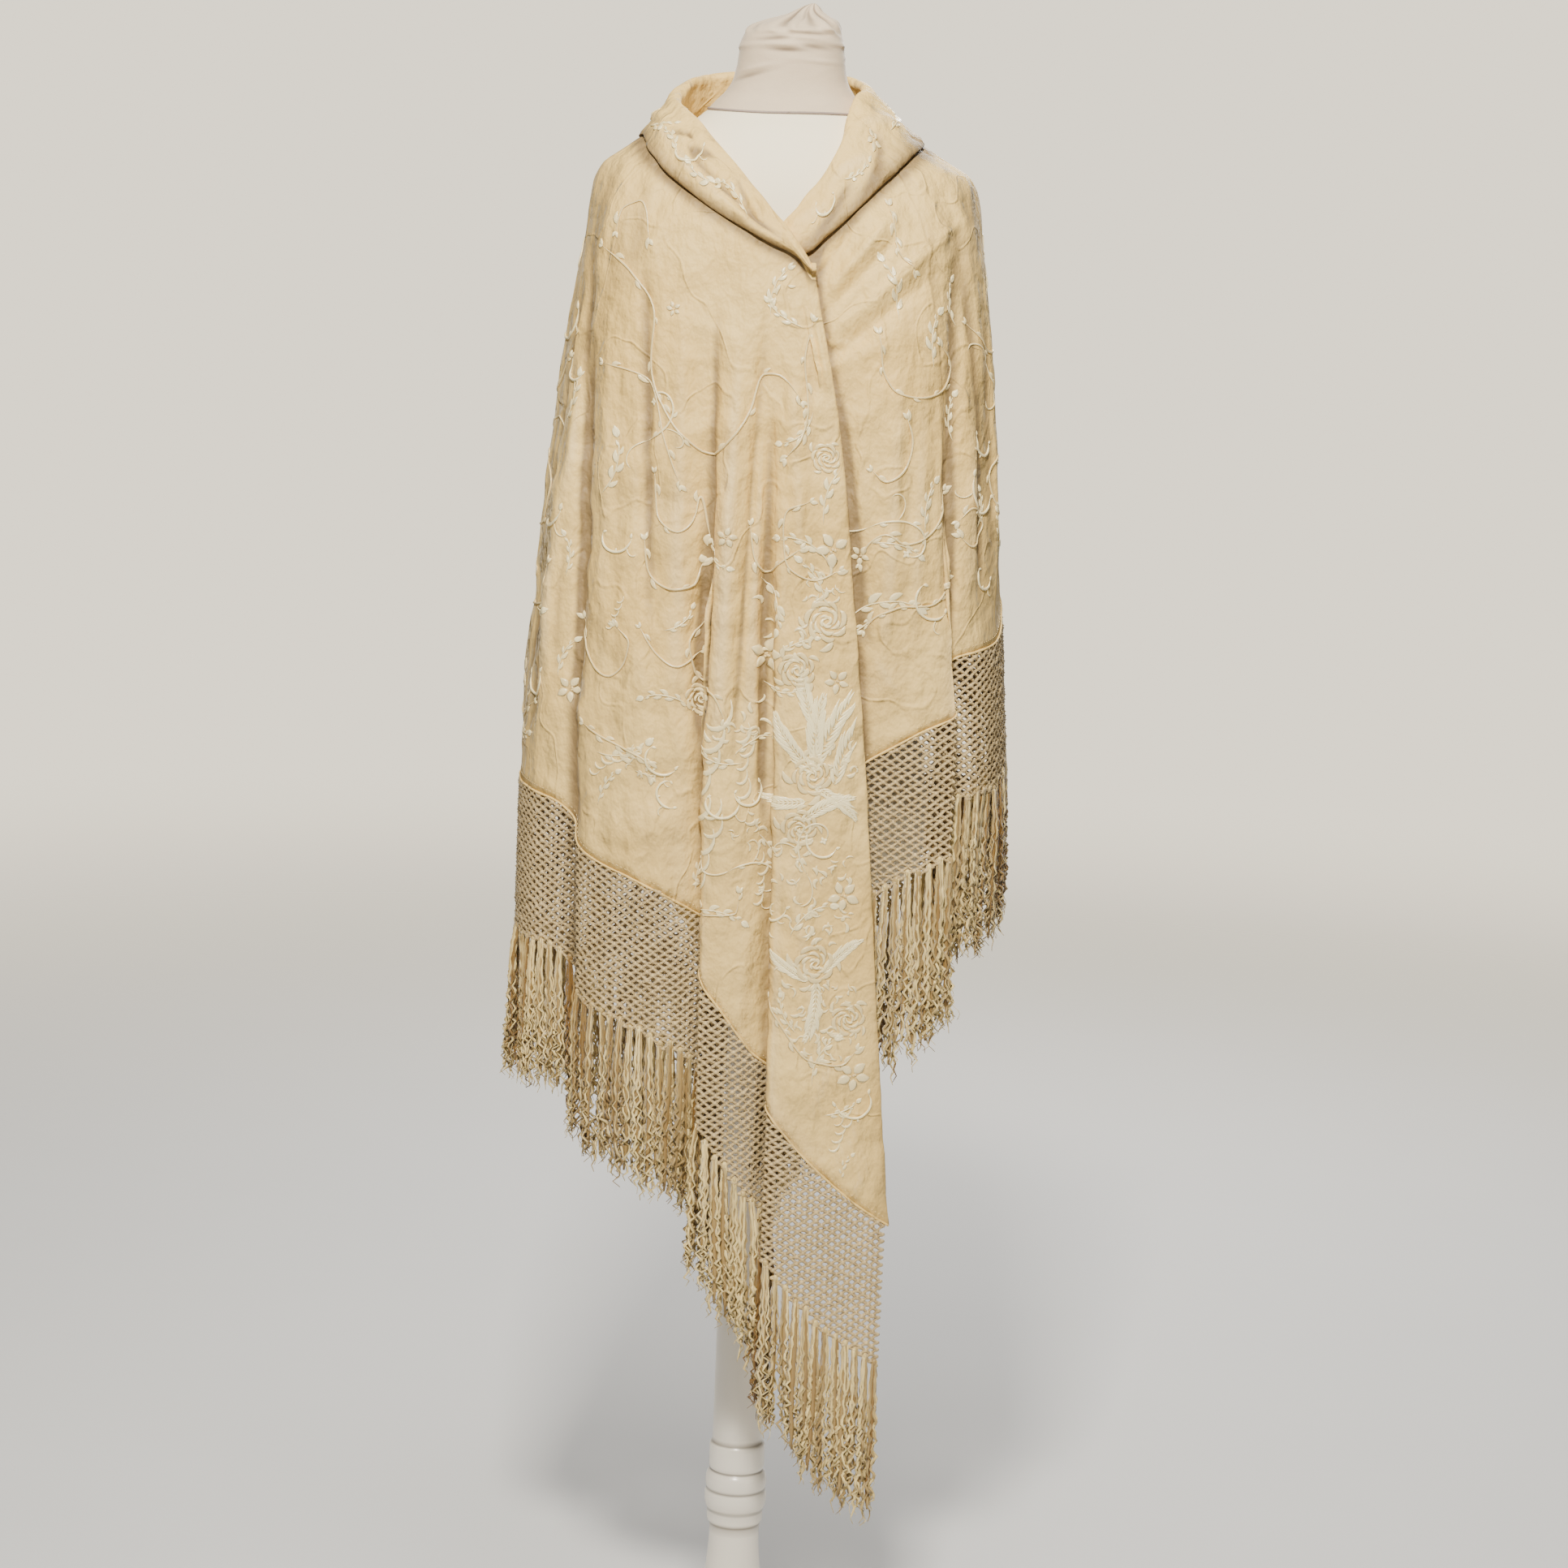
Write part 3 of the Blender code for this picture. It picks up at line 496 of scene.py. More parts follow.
# The folds in their order along the cloth: plan angles high up, midway and at the hem, how far the cloth
# stands out there and the hem's height, in mm. A falling angle is a fold that turns back on itself.
LEFT_FRONT = (
    (262, 262, 262, 0, 0, 0, 951), (272, 274, 276, 0, 1, 3, 949), (280, 287, 288, 0, 2, 4, 945),
    (284.5, 295, 296, 0, -1, -3, 938), (288, 300, 301, -1, -7, -14, 920), (292, 304, 305, 0, -2, -4, 898),
    (300, 311, 311, 0, 1, 2, 886), (312, 320, 321, 0, 2, 3, 872), (321, 328, 330, 0, 0, -1, 858),
    (325, 332.5, 336, 0, -3, -8, 847), (328, 335.5, 344.5, 0, -7, -24, 828),
    (329.5, 337, 350, 0, -8, -22, 818), (331, 338.5, 347, 0, -7, -13, 800),
    (332.5, 340, 341, 0, -4, -6, 784), (335, 342, 342, 0, 0, 2, 772), (340, 347, 348, 0, 2, 4, 749),
    (346, 352, 354, 0, 1, 1, 725), (349.5, 355, 360, 0, -2, -6, 703),
    (351.5, 357.5, 365.5, 0, -5, -15, 690), (353, 359, 370.5, 0, -6, -18, 679),
    (354.5, 360.5, 369.5, 0, -5, -11, 666), (356, 362, 366, 0, -2, -5, 649),
    (358, 364.5, 368, 0, 1, 4, 640), (363, 370, 378, 1, 3, 6, 607), (368, 377, 389, 2, 3, 5, 575),
    (371, 382, 399, 2, 3, 4, 548), (371.8, 384, 407, 2, 3, 1, 529),
)
RIGHT_FRONT = (
    (-3, -5, 0, -14, -16, -34, 890), (4, 3, 9, -14, -16, -34, 918), (11, 12, 18, -12, -15, -32, 948),
    (19, 21, 26, -7, -13, -28, 975), (26, 30, 33, -3, -8, -22, 994), (34, 39, 41, 0, -3, -15, 1011),
    (42, 47, 49, 0, 0, -5, 1028), (48.5, 53, 57, 0, 1, 3, 1042), (50.5, 55, 56.4, 0, -2, -5, 1052),
    (52, 56.5, 53.5, -1, -4, -13, 1068), (54, 58, 56.5, -1, -4, -18, 1084),
    (57, 61, 60.5, 0, -2, -10, 1097), (64, 68, 67, 0, 0, -2, 1102), (75, 78, 78, 0, 0, 0, 1107),
    (86, 87, 87, 0, 0, 0, 1125), (97, 97, 97, 0, 0, 0, 1150),
)
# The back's hollows: plan angle, depth midway and at the hem in mm, and half width in degrees.
BACK_FOLDS = (
    (112, 6, 20, 7), (133, 9, 26, 8), (156, 7, 24, 8), (179, 10, 28, 9), (203, 8, 24, 9), (229, 6, 20, 9),
    (249, 3, 12, 6),
)
# Plan angle and the hem's height in mm.
BACK_HEM = (
    (97, 1150), (110, 1078), (125, 988), (140, 900), (155, 812), (170, 737), (184, 682), (190, 690),
    (205, 755), (220, 815), (235, 868), (250, 925), (262, 951),
)
# What each column of the cloth holds, in the order of the fronts' tables.
WALK = ("high", "mid", "hem", "high_out", "mid_out", "hem_out", "hem_z")


def front_walk(table, count):
    """A front's columns: each table value as a monotone cubic of the place along the cloth."""
    rows = np.array(table)
    rows[:, 3:] /= 1000
    folds = np.arange(len(rows))
    at = np.linspace(0, folds[-1], count)
    return {name: smooth(at, folds, rows[:, place]) for place, name in enumerate(WALK)}


def back_walk(count):
    """The back's columns: even steps of angle, out = ridge - sum of depth * exp(-((a - a0) / w)^2)."""
    angle = np.linspace(BACK_START, BACK_STOP, count)
    ridge = np.clip(np.minimum(angle - BACK_START, BACK_STOP - angle) / 8, 0, 1)
    middle, mid_depth, hem_depth, half = np.array(BACK_FOLDS).T
    bells = np.exp(-(((angle[:, None] - middle) / half) ** 2))
    hem_angle, hem_mm = np.array(BACK_HEM).T
    walk = {"high": angle, "mid": angle, "hem": angle, "high_out": 0 * angle}
    walk["mid_out"] = (0.4 * BACK_RIDGE * ridge - bells @ (mid_depth / 1000)) * ridge
    walk["hem_out"] = (BACK_RIDGE * ridge - bells @ (hem_depth / 1000)) * ridge
    walk["hem_z"] = smooth(angle, hem_angle, hem_mm / 1000)
    return walk


def ring_point(angle, z, out):
    """(|sin a / half_x|^p + |cos a / half_y|^p)^(-1/p) from the column at height z, moved out by out."""
    known_z, *known = np.array(CLOTH_RINGS).T / 1000
    left, right, front, back = (smooth(z, known_z, values) for values in known)
    side_x = np.sin(np.radians(angle))
    side_y = -np.cos(np.radians(angle))
    half_x = np.where(side_x < 0, left, right)
    half_y = np.where(side_y < 0, front, back)
    along_x = np.abs(side_x) / half_x
    along_y = np.abs(side_y) / half_y
    radius = (along_x**RING_POWER + along_y**RING_POWER) ** (-1 / RING_POWER)
    normal_x = np.sign(side_x) * along_x ** (RING_POWER - 1) / half_x
    normal_y = np.sign(side_y) * along_y ** (RING_POWER - 1) / half_y
    length = np.hypot(normal_x, normal_y)
    x = radius * side_x + out * normal_x / length
    y = radius * side_y + out * normal_y / length
    return np.stack([x, y, z + 0 * x], axis=-1)


def fold_place(walk, z):
    """Plan angle and standing-out of the cloth: from their high values to mid to hem as z falls."""
    upper = np.clip((HIGH_Z - z) / (HIGH_Z - MID_Z), 0, 1)
    lower = np.clip((MID_Z - z) / (MID_Z - walk["hem_z"]), 0, 1)
    turn = 1 - (1 - upper) ** TURN_EASE
    swell = upper**SWELL_EASE
    angle = walk["high"] + (walk["mid"] - walk["high"]) * turn + (walk["hem"] - walk["mid"]) * lower
    out = walk["high_out"] * (1 - swell) + walk["mid_out"] * swell
    out = out + (walk["hem_out"] - walk["mid_out"]) * lower
    return angle, out


def cloth_point(walk, z):
    """The hanging cloth at height z."""
    angle, out = fold_place(walk, z)
    return ring_point(angle, z, out)


right = front_walk(RIGHT_FRONT, RIGHT_COLUMNS)
back = back_walk(BACK_COLUMNS)
left = front_walk(LEFT_FRONT, LEFT_COLUMNS)
walk = {name: np.concatenate([right[name], back[name][1:], left[name][1:]]) for name in WALK}
columns = len(walk["high"])
right_end = RIGHT_COLUMNS
back_end = RIGHT_COLUMNS + BACK_COLUMNS - 1


def at_column(place, values):
    """Values of the cloth's columns, read at fractional columns."""
    return np.interp(place, np.arange(columns), values)


UNDER_ROWS = 4
FALL_ROWS = 10
ROLL_ROWS = 9
STAND_ROWS = 3
PANEL_ROWS = 98
EDGE_RADIUS = 0.0034
EDGE_TURNS = (-150, -120, -90, -60, -30)
FREE_EDGE_RADIUS = 0.0021
UNDER_REACH = 0.009
ROW_CROWDING = 1.6
CLOTH_THICKNESS = 0.0010
FOLD_SOFTENINGS = 40

# The collar's section, from the layer turned under its folded edge, up the fall, over the roll and down.
angle, *known = np.array(COLLAR).T
roll, fall, roll_radius = (smooth(walk["high"], angle, values / 1000) for values in known)
under_out = walk["high_out"]
edge_out = under_out + np.minimum(2 * roll_radius, COLLAR_EDGE_OUT)
under_reach = np.minimum(UNDER_REACH, 0.5 * (roll - roll_radius - fall))
section_z = []
section_out = []
for share in np.linspace(1, 0, UNDER_ROWS):
    section_z.append(fall + EDGE_RADIUS + under_reach * share)
    section_out.append(edge_out - 2 * EDGE_RADIUS)
for turn in np.radians(EDGE_TURNS):
    section_z.append(fall + EDGE_RADIUS + EDGE_RADIUS * np.sin(turn))
    section_out.append(edge_out - EDGE_RADIUS + EDGE_RADIUS * np.cos(turn))
for share in np.linspace(0, 1, FALL_ROWS):
    section_z.append(fall + EDGE_RADIUS + (roll - roll_radius - fall - EDGE_RADIUS) * share)
    section_out.append(edge_out + (under_out + 2 * roll_radius - edge_out) * share**0.8)
for turn in np.radians(np.linspace(0, 180, ROLL_ROWS + 1)[1:]):
    section_z.append(roll - roll_radius * (1 - np.sin(turn)))
    section_out.append(under_out + roll_radius * (1 + np.cos(turn)))
stand = roll - COLLAR_STAND
for share in np.linspace(0, 1, STAND_ROWS + 2)[1:-1]:
    section_z.append(roll - roll_radius + (stand - roll + roll_radius) * share)
    section_out.append(under_out)
collar_sheet = ring_point(walk["high"][None, :], np.array(section_z), np.array(section_out))
collar_rows = len(collar_sheet)
down = np.linspace(0, 1, PANEL_ROWS)[:, None] ** ROW_CROWDING
panel_z = stand + (walk["hem_z"] - stand) * down
fold = np.stack(fold_place(walk, panel_z))
for _ in range(FOLD_SOFTENINGS):
    fold[:, 1:-1] = (fold[:, :-2] + 2 * fold[:, 1:-1] + fold[:, 2:]) / 4
panel_sheet = ring_point(fold[0], panel_z, fold[1])
sheet = np.concatenate([collar_sheet, panel_sheet])
rows = len(sheet)


def sheet_normals(sheet):
    """Unit normals of a grid of points: down the rows cross along the columns."""
    downwards = np.gradient(sheet, axis=0)
    along = np.gradient(sheet, axis=1)
    return unit(np.cross(downwards, along))


normals = sheet_normals(sheet)

# Creases on each side: in mm their two ends (across and up), half width and height. A minus is a trough.
CREASES = (
    ("front", (
        (-186, 1480, -184, 1040, 7, -8.1), (-162, 1440, -158, 1030, 9.6, 4.8),
        (-132, 1470, -115, 1120, 8.7, -7.5), (-92, 1440, -88, 1060, 10.4, 4.6),
        (-60, 1430, -64, 1020, 7.8, -9.7), (-38, 1400, -46, 1000, 7, 4.8),
        (-14, 1420, -30, 980, 6.1, -5.8), (-6, 1340, 0, 940, 6.1, -7.2), (12, 1380, 30, 1180, 7.8, 4.3),
        (28, 1420, 34, 1290, 7, -3), (52, 1130, 70, 960, 10.4, 3.6), (-213, 1300, -217, 1030, 7, 4.8),
        (-226, 1200, -231, 1000, 4.3, -4.8), (-175, 1016, -68, 1011, 2, -1.2),
        (-116, 1190, -70, 1100, 7, -2.2), (-150, 1150, -112, 1050, 8, 2.2),
        (-160, 1040, -110, 940, 8, -1.9), (-100, 1330, -140, 1250, 7, 1.9), (30, 900, 66, 700, 7.8, 3.9),
        (86, 720, 60, 645, 5.2, 3.6), (110, 640, 82, 585, 5, 2.4), (120, 590, 98, 556, 4, 2.4),
        (-95, 1535, -25, 1490, 10, 2.2), (-152, 1552, -180, 1450, 7.8, 4.3),
        (-128, 1550, -150, 1440, 9, -2.4), (46, 1404, 170, 1520, 5.2, 6.7),
        (52, 1388, 150, 1470, 6.1, -5.6), (36, 1440, 115, 1535, 5.2, 5.4),
        (40, 1425, 130, 1525, 5.2, -4.8), (34, 1462, 78, 1530, 4.3, -4.3), (45, 1400, 80, 1404, 3, 2.4),
        (40, 1370, 120, 1415, 6.1, 3.5), (62, 1350, 98, 1100, 8.7, -4.8),
        (120, 1400, 112, 1080, 10.4, 4.8), (138, 1460, 140, 1110, 9, 4.6), (166, 1500, 174, 1120, 7, -7.4),
        (188, 1490, 194, 1140, 8, 4.6), (150, 1545, 186, 1490, 8, 2.4), (85, 1120, 140, 1050, 7, 2.2),
    )),
    ("left", (
        (45, 1500, 60, 1000, 9.6, 6.5), (18, 1480, 32, 1020, 7.8, -7.2), (-15, 1460, -5, 1000, 8.7, 5.5),
        (-50, 1450, -40, 1030, 7, -6.5), (-85, 1460, -80, 1040, 7.8, 4.8), (85, 1480, 92, 1060, 7, -5.8),
        (20, 1530, 85, 1440, 8, 2.6),
    )),
    ("right", (
        (50, 1500, 70, 1130, 8.7, -7.2), (22, 1490, 30, 1160, 7.8, 5.8), (-10, 1470, -8, 1170, 7.8, -6.5),
        (-45, 1480, -50, 1160, 7.8, 5.5), (-80, 1470, -86, 1150, 7, -5.2), (20, 1530, 80, 1440, 8, 2.6),
    )),
    ("back", (
        (-100, 1520, -140, 1360, 8.7, 5.5), (-75, 1500, -110, 1280, 7.8, -5.5),
        (-20, 1500, -40, 1250, 9.6, -5.2), (15, 1470, 10, 1180, 8.7, 5.2), (45, 1520, 60, 1280, 7.8, -5.2),
        (75, 1530, 105, 1290, 8.7, 5.5), (115, 1500, 130, 1240, 7.8, -5.5), (130, 1540, 170, 1420, 7, 4.3),
        (-60, 1240, -70, 980, 7.8, 4.3), (35, 1200, 40, 950, 7.8, -4.3), (90, 1250, 100, 1080, 7, -3.9),
        (-150, 1300, -160, 1060, 7, -4.8), (-135, 1540, -172, 1470, 7, 3.6),
    )),
)
# The collar's creases: plan angle, place up its fall in hundredths, slant in thousandths, half length in
# degrees, half width in hundredths of the fall, and height in mm.
COLLAR_CREASES = (
    (330, 34, -4, 34, 10, 2.6), (330, 52, -6, 26, 9, -2.4), (316, 80, 20, 8, 12, -3),
    (309, 62, -30, 7, 12, 2.2), (303, 84, 30, 9, 13, -3.4), (296, 60, 10, 9, 14, 2.4),
    (342, 72, -40, 7, 12, -2), (350, 40, 20, 9, 12, -1.8), (282, 50, 10, 12, 12, -2),
    (262, 62, -10, 16, 12, 2.2), (245, 38, 12, 18, 12, -2.2), (220, 60, -8, 20, 12, 2.2),
    (196, 40, 10, 16, 12, -2.2), (168, 58, -10, 18, 12, 2.2), (140, 42, 10, 18, 12, -2.2),
    (112, 62, -12, 16, 12, 2.2), (88, 40, 16, 14, 12, -2.2), (64, 62, -18, 14, 12, 2.4),
    (46, 36, 20, 12, 12, -2.6), (34, 66, -20, 12, 13, 2.6), (22, 40, 16, 10, 13, -2.4),
    (12, 64, -20, 8, 13, 1.8),
)
# For each side the axis that runs across it, the axis that it faces along, and which way.
FACINGS = {"front": (0, 1, -1), "back": (0, 1, 1), "left": (1, 0, -1), "right": (1, 0, 1)}


def crease_height(sheet, normals):
    """Sum of height * exp(-(distance / width)^2) * sqrt(sin(pi t)) over the creases of each point's side."""
    total = np.zeros(sheet.shape[:2])
    for side, creases in CREASES:
        across_axis, out_axis, sign = FACINGS[side]
        facing = np.clip(sign * normals[..., out_axis] * 2.5, 0, 1) * (sign * sheet[..., out_axis] > -0.01)
        for *ends, width, height in creases:
            start, end = np.array(ends).reshape(2, 2) / 1000
            step = end - start
            offset = sheet[..., [across_axis, 2]] - start
            t = np.clip(offset @ step / (step @ step), 0.01, 0.99)
            distance = np.linalg.norm(offset - t[..., None] * step, axis=-1) * 1000
            total += facing * height / 1000 * np.exp(-((distance / width) ** 2)) * np.sqrt(np.sin(np.pi * t))
    return total


def ripple(across, up, seed, waves, longest, shortest):
    """Gentle unevenness of the hanging silk: a sum of sine waves, mostly with upright crests."""
    chance = np.random.default_rng(seed)
    total = 0 * across
    for wave in range(waves):
        length = longest * (shortest / longest) ** (wave / (waves - 1))
        slant = chance.normal(0, 0.28)
        bend = 0.3 * np.sin(up * chance.uniform(4, 9) + chance.uniform(0, 6))
        phase = 2 * np.pi * (across + slant * up) / length + bend * 3 + chance.uniform(0, 6)
        total = total + np.sin(phase) * (length / longest) ** 0.8
    return total / np.sqrt(waves)


panel_share = np.concatenate([np.zeros(collar_rows), np.linspace(0, 1, PANEL_ROWS)])[:, None]
run_along = np.stack([run_of(row) for row in sheet])
run_down = np.stack([run_of(column) for column in sheet.swapaxes(0, 1)], axis=1)
level_run = run_along[collar_rows + PANEL_ROWS // 2][None, :] + 0 * run_along
over_panel = np.clip(panel_share * 5, 0, 1)
lift = crease_height(sheet, normals) * over_panel
creased = lift.copy()
below_chest = np.clip((1.46 - sheet[..., 2]) / 0.22, 0.12, 1)
lift += 0.0018 * ripple(run_along, sheet[..., 2], 7, 8, 0.15, 0.040) * over_panel * below_chest
lift += 0.0007 * ripple(sheet[..., 2], 0.35 * run_along, 8, 7, 0.14, 0.036) * over_panel
on_collar = 1 - over_panel
lift += 0.0013 * ripple(run_down, 0.30 * run_along, 9, 5, 0.060, 0.020) * on_collar
# The fall swells outwards between its folded edge and the roll, with a soft ridge along it.
up_fall = np.clip((np.arange(rows)[:, None] - UNDER_ROWS - len(EDGE_TURNS) + 1) / FALL_ROWS, 0, 1)
lift -= 0.0034 * np.sin(np.pi * up_fall) ** 0.7
for angle, share, slant, long_half, wide_half, height in COLLAR_CREASES:
    off = walk["high"][None, :] - angle
    across = (up_fall - share / 100 - slant / 1000 * off) / (wide_half / 100)
    bell = np.exp(-((off / long_half) ** 2) - across**2)
    bell = 1.5 * height / 1000 * bell * (up_fall > 0) * (up_fall < 1)
    lift -= bell
    creased += bell
shoulder = np.clip((sheet[..., 2] - 1.50) / 0.02, 0, 1) * over_panel
lift = lift * (1 - shoulder) + np.abs(lift) * shoulder
# The free edge of the left front is the fold itself: it rolls outwards below the crossing.
to_free_edge = run_along[:, -1:] - run_along
rolled = np.clip((sheet[..., 2] - 1.340) / 0.03, 0, 1) * over_panel
lift += 0.0034 * rolled * np.exp(-(((to_free_edge - 0.006) / 0.0045) ** 2))
# Painted shade in the hollows and painted highlight on ridges: how far a point lies behind its neighbours
# across.
_, fold_out = fold_place(walk, sheet[..., 2])
fold_out = np.where(over_panel > 0, fold_out, 0) + creased * over_panel
common_run = run_along[collar_rows + PANEL_ROWS // 3 :].mean(axis=0)
apart = common_run[:, None] - common_run[None, :]
between = np.gradient(common_run)[:, None]
painted_shading = np.zeros(fold_out.shape)
for reach, full in ((0.009, 0.0034), (0.024, 0.011)):
    beside = np.exp(-((apart / reach) ** 2)) * between
    painted_shading += (fold_out @ (beside / beside.sum(axis=0)) - fold_out) / full
# Painted shadow below the collar's edge, painted shade on its roll, and painted light and shade on its
# creases.
below_fall = (fall - 0.004 - sheet[..., 2]) / 0.007
rolled_edge_shade = np.clip(1.2 - np.abs(np.arange(rows)[:, None] - UNDER_ROWS - 2) / 6, 0, 1)
painted_shading = painted_shading + 0.9 * np.exp(-(below_fall**2)) * (panel_share > 0) + 0.9 * rolled_edge_shade
painted_shading -= creased * on_collar / 0.0045
# The left front's edge shades the right front below it, and the sides of the cloth lie in shade.
edge_x = np.interp(-sheet[..., 2], -sheet[collar_rows:, -1, 2], sheet[collar_rows:, -1, 0])
under_edge = np.exp(-(((sheet[..., 0] - edge_x - 0.001) / 0.007) ** 2)) * (np.arange(columns)[None, :] < 60)
at_side = np.clip((np.abs(normals[..., 0]) - 0.40) / 0.45, 0, 1) * (sheet[..., 1] < 0.03) * over_panel
painted_shading = np.clip(painted_shading + 0.9 * under_edge * over_panel + 0.42 * at_side, -1, 1)
hem_band = np.exp(-(((run_down[-1:] - run_down) / 0.005) ** 4))
lift += 0.0006 * hem_band
sheet = sheet + normals * lift[..., None]
normals = sheet_normals(sheet)

# The under layer shows at the free edge, where the cloth turns back on itself in a soft fold.
turned_columns = []
edge = sheet[:, -1]
ahead = unit(sheet[:, -1] - sheet[:, -3])
edge_out_way = normals[:, -2]
opened = np.clip(panel_share * 12, 0.25, 1)
for turn in np.radians((45, 90, 135, 180)):
    reach = FREE_EDGE_RADIUS * opened
    turned_columns.append(edge + ahead * np.sin(turn) * reach - edge_out_way * (1 - np.cos(turn)) * reach)
for reach in (0.004, 0.009, 0.015):
    turned_columns.append(edge - ahead * reach * opened - edge_out_way * 2 * FREE_EDGE_RADIUS * opened)
whole = np.concatenate([sheet, np.stack(turned_columns, axis=1)], axis=1)
whole_normals = sheet_normals(whole)

outer = whole + whole_normals * CLOTH_THICKNESS / 2
inner = whole - whole_normals * CLOTH_THICKNESS / 2
count = outer[..., 0].size
corner = np.arange(count).reshape(outer.shape[:2])
faces = grid_faces(corner) + [quad[::-1] for quad in grid_faces(corner + count)]
rim = np.concatenate([corner[0], corner[1:, -1], corner[-1, -2::-1], corner[-2:0:-1, 0]])
after = np.roll(rim, -1)
faces += np.stack([rim, after, after + count, rim + count], axis=-1).tolist()
turned_count = len(turned_columns)
cloth_run = np.concatenate([level_run, level_run[:, -1:] + 0.004 * np.arange(1, turned_count + 1)], axis=1)
cloth_down = np.concatenate([run_down, np.repeat(run_down[:, -1:], turned_count, axis=1)], axis=1)
cloth_uv = np.stack([cloth_run, -cloth_down], axis=-1)
# Small marks on the old silk: place, reach and colour.
SPOTS = (
    ((0.122, -0.080, 1.484), 0.004, (0.36, 0.23, 0.11, 1)),
    ((0.117, -0.130, 1.207), 0.004, (0.40, 0.25, 0.12, 1)),
    ((-0.112, -0.150, 1.050), 0.004, (0.80, 0.30, 0.42, 1)),
)
SILK_SHINE = {"Sheen Weight": 0.12, "Sheen Roughness": 0.35, "Specular IOR Level": 0.4}
silk, wire = finish("silk_crepe", {"Sheen Tint": (1.0, 0.92, 0.76, 1), **SILK_SHINE})
thread = wire.threadway()
crepe = thread.spread(1.0, 1.5).mottle(950.0, 1.5)
slub = thread.spread(40.0, 900.0).mottle(1.0, 2.0)
crumple = wire.place().spread(1.0, 1.0, 0.7).mottle(34.0, 4.0)
soft_folds = wire.place().spread(1.0, 1.0, 0.25).mottle(20.0, 2.0)
wandering = wire.place().spread(1.0, 1.0, 0.8).mottle(13.0, 1.5)
lines = wandering.between(0.462, 0.478) - wandering.between(0.478, 0.494)
stained = wire.place().mottle(4.2, 4.0).between(0.42, 0.68)
browned = wire.place().mottle(11.0, 5.0).between(0.60, 0.80)
clean = stained.tint((0.84, 0.59, 0.205, 1), (0.79, 0.53, 0.165, 1))
# The held value is painted shade in the folds, under edges and at the sides, and painted highlight on ridges.
deep = wire.held("painted_shading")
clean = (deep.between(0.0, 0.9) * 0.95).tint(clean, (0.25, 0.165, 0.07, 1))
clean = ((0 - deep).between(0.0, 1.0) * 0.5).tint(clean, (0.90, 0.68, 0.36, 1))
worn = (browned * 0.4).tint(clean, (0.62, 0.44, 0.22, 1))
for spot, reach, colour in SPOTS:
    away = wire.node("ShaderNodeVectorMath", {"operation": "DISTANCE"}, {0: wire.place(), 1: spot}, "Value")
    worn = ((1 - away.between(reach * 0.4, reach)) * 0.6).tint(worn, colour)
rumpled = lines.relief(0.5, 0.0016, crumple.relief(1.0, 0.012, soft_folds.relief(0.7, 0.020)))
woven = crepe.relief(0.25, 0.0005, slub.relief(0.15, 0.0004, rumpled))
feed(silk, base_color=worn, roughness=0.56 + crepe * 0.12, normal=woven)
painted_shading = np.concatenate([painted_shading, np.repeat(painted_shading[:, -1:], turned_count, axis=1)], axis=1)
shawl = add_piece(
    "shawl_cloth",
    np.stack([outer, inner]),
    faces,
    silk,
    uv=np.stack([cloth_uv, cloth_uv]),
    held={"painted_shading": np.stack([painted_shading, painted_shading])},
)
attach(shawl, "root")
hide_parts("shawl_left_front", "shawl_right_front", "shawl_back", "shawl_collar")


# The hem: a narrow rolled hem along the two sewn sides of the square, caught down by hand with a row
# of small slip stitches in the same silk.
HEM_RADIUS = 0.0012
HEM_SIDES = 6
STITCH_PITCH = 0.0046
STITCH_RADIUS = 0.0004
STITCH_SIDES = 4


def fine_walk(steps):
    """The cloth's columns read at finer or coarser steps, for what is sewn to its edge."""
    return {name: at_column(steps, walk[name]) for name in WALK}


hem_line = outer[-1, :columns] - np.array([0, 0, 0.0004])
uneven = 1 + 0.12 * np.sin(np.arange(columns) * 1.7) + 0.08 * np.sin(np.arange(columns) * 0.61)
hem_size = HEM_RADIUS * uneven[None]
hem_points = along_tube(hem_line[None], hem_size, hem_size, normals[-1:, :columns], HEM_SIDES)
hem_uv = np.zeros((columns * HEM_SIDES, 2))
hem = add_piece("rolled_hem", hem_points, tube_faces(1, columns, HEM_SIDES), silk, uv=hem_uv)
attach(hem, "root")

hem_run = run_of(hem_line)
stitch_at = np.arange(0.004, hem_run[-1] - 0.004, STITCH_PITCH)
stitch_steps = np.interp(stitch_at[:, None] + (0, 0.0011, 0.0022), hem_run, np.arange(columns))


def on_sheet(points, row, column):
    """Bilinear reading of a grid of points at fractional rows and columns."""
    row = np.clip(row, 0, points.shape[0] - 1.001)
    column = np.clip(column, 0, points.shape[1] - 1.001)
    i = row.astype(int)
    j = column.astype(int)
    down = (row - i)[..., None]
    along = (column - j)[..., None]
    upper = points[i, j] * (1 - along) + points[i, j + 1] * along
    lower = points[i + 1, j] * (1 - along) + points[i + 1, j + 1] * along
    return upper * (1 - down) + lower * down


def panel_row(column, z):
    """The row of the grid that has height z at a column: the rows' crowding, turned round."""
    top = at_column(column, stand)
    bottom = at_column(column, walk["hem_z"])
    share = (top - z) / (top - bottom)
    return collar_rows + (PANEL_ROWS - 1) * np.clip(share, 0, 1) ** (1 / ROW_CROWDING), share


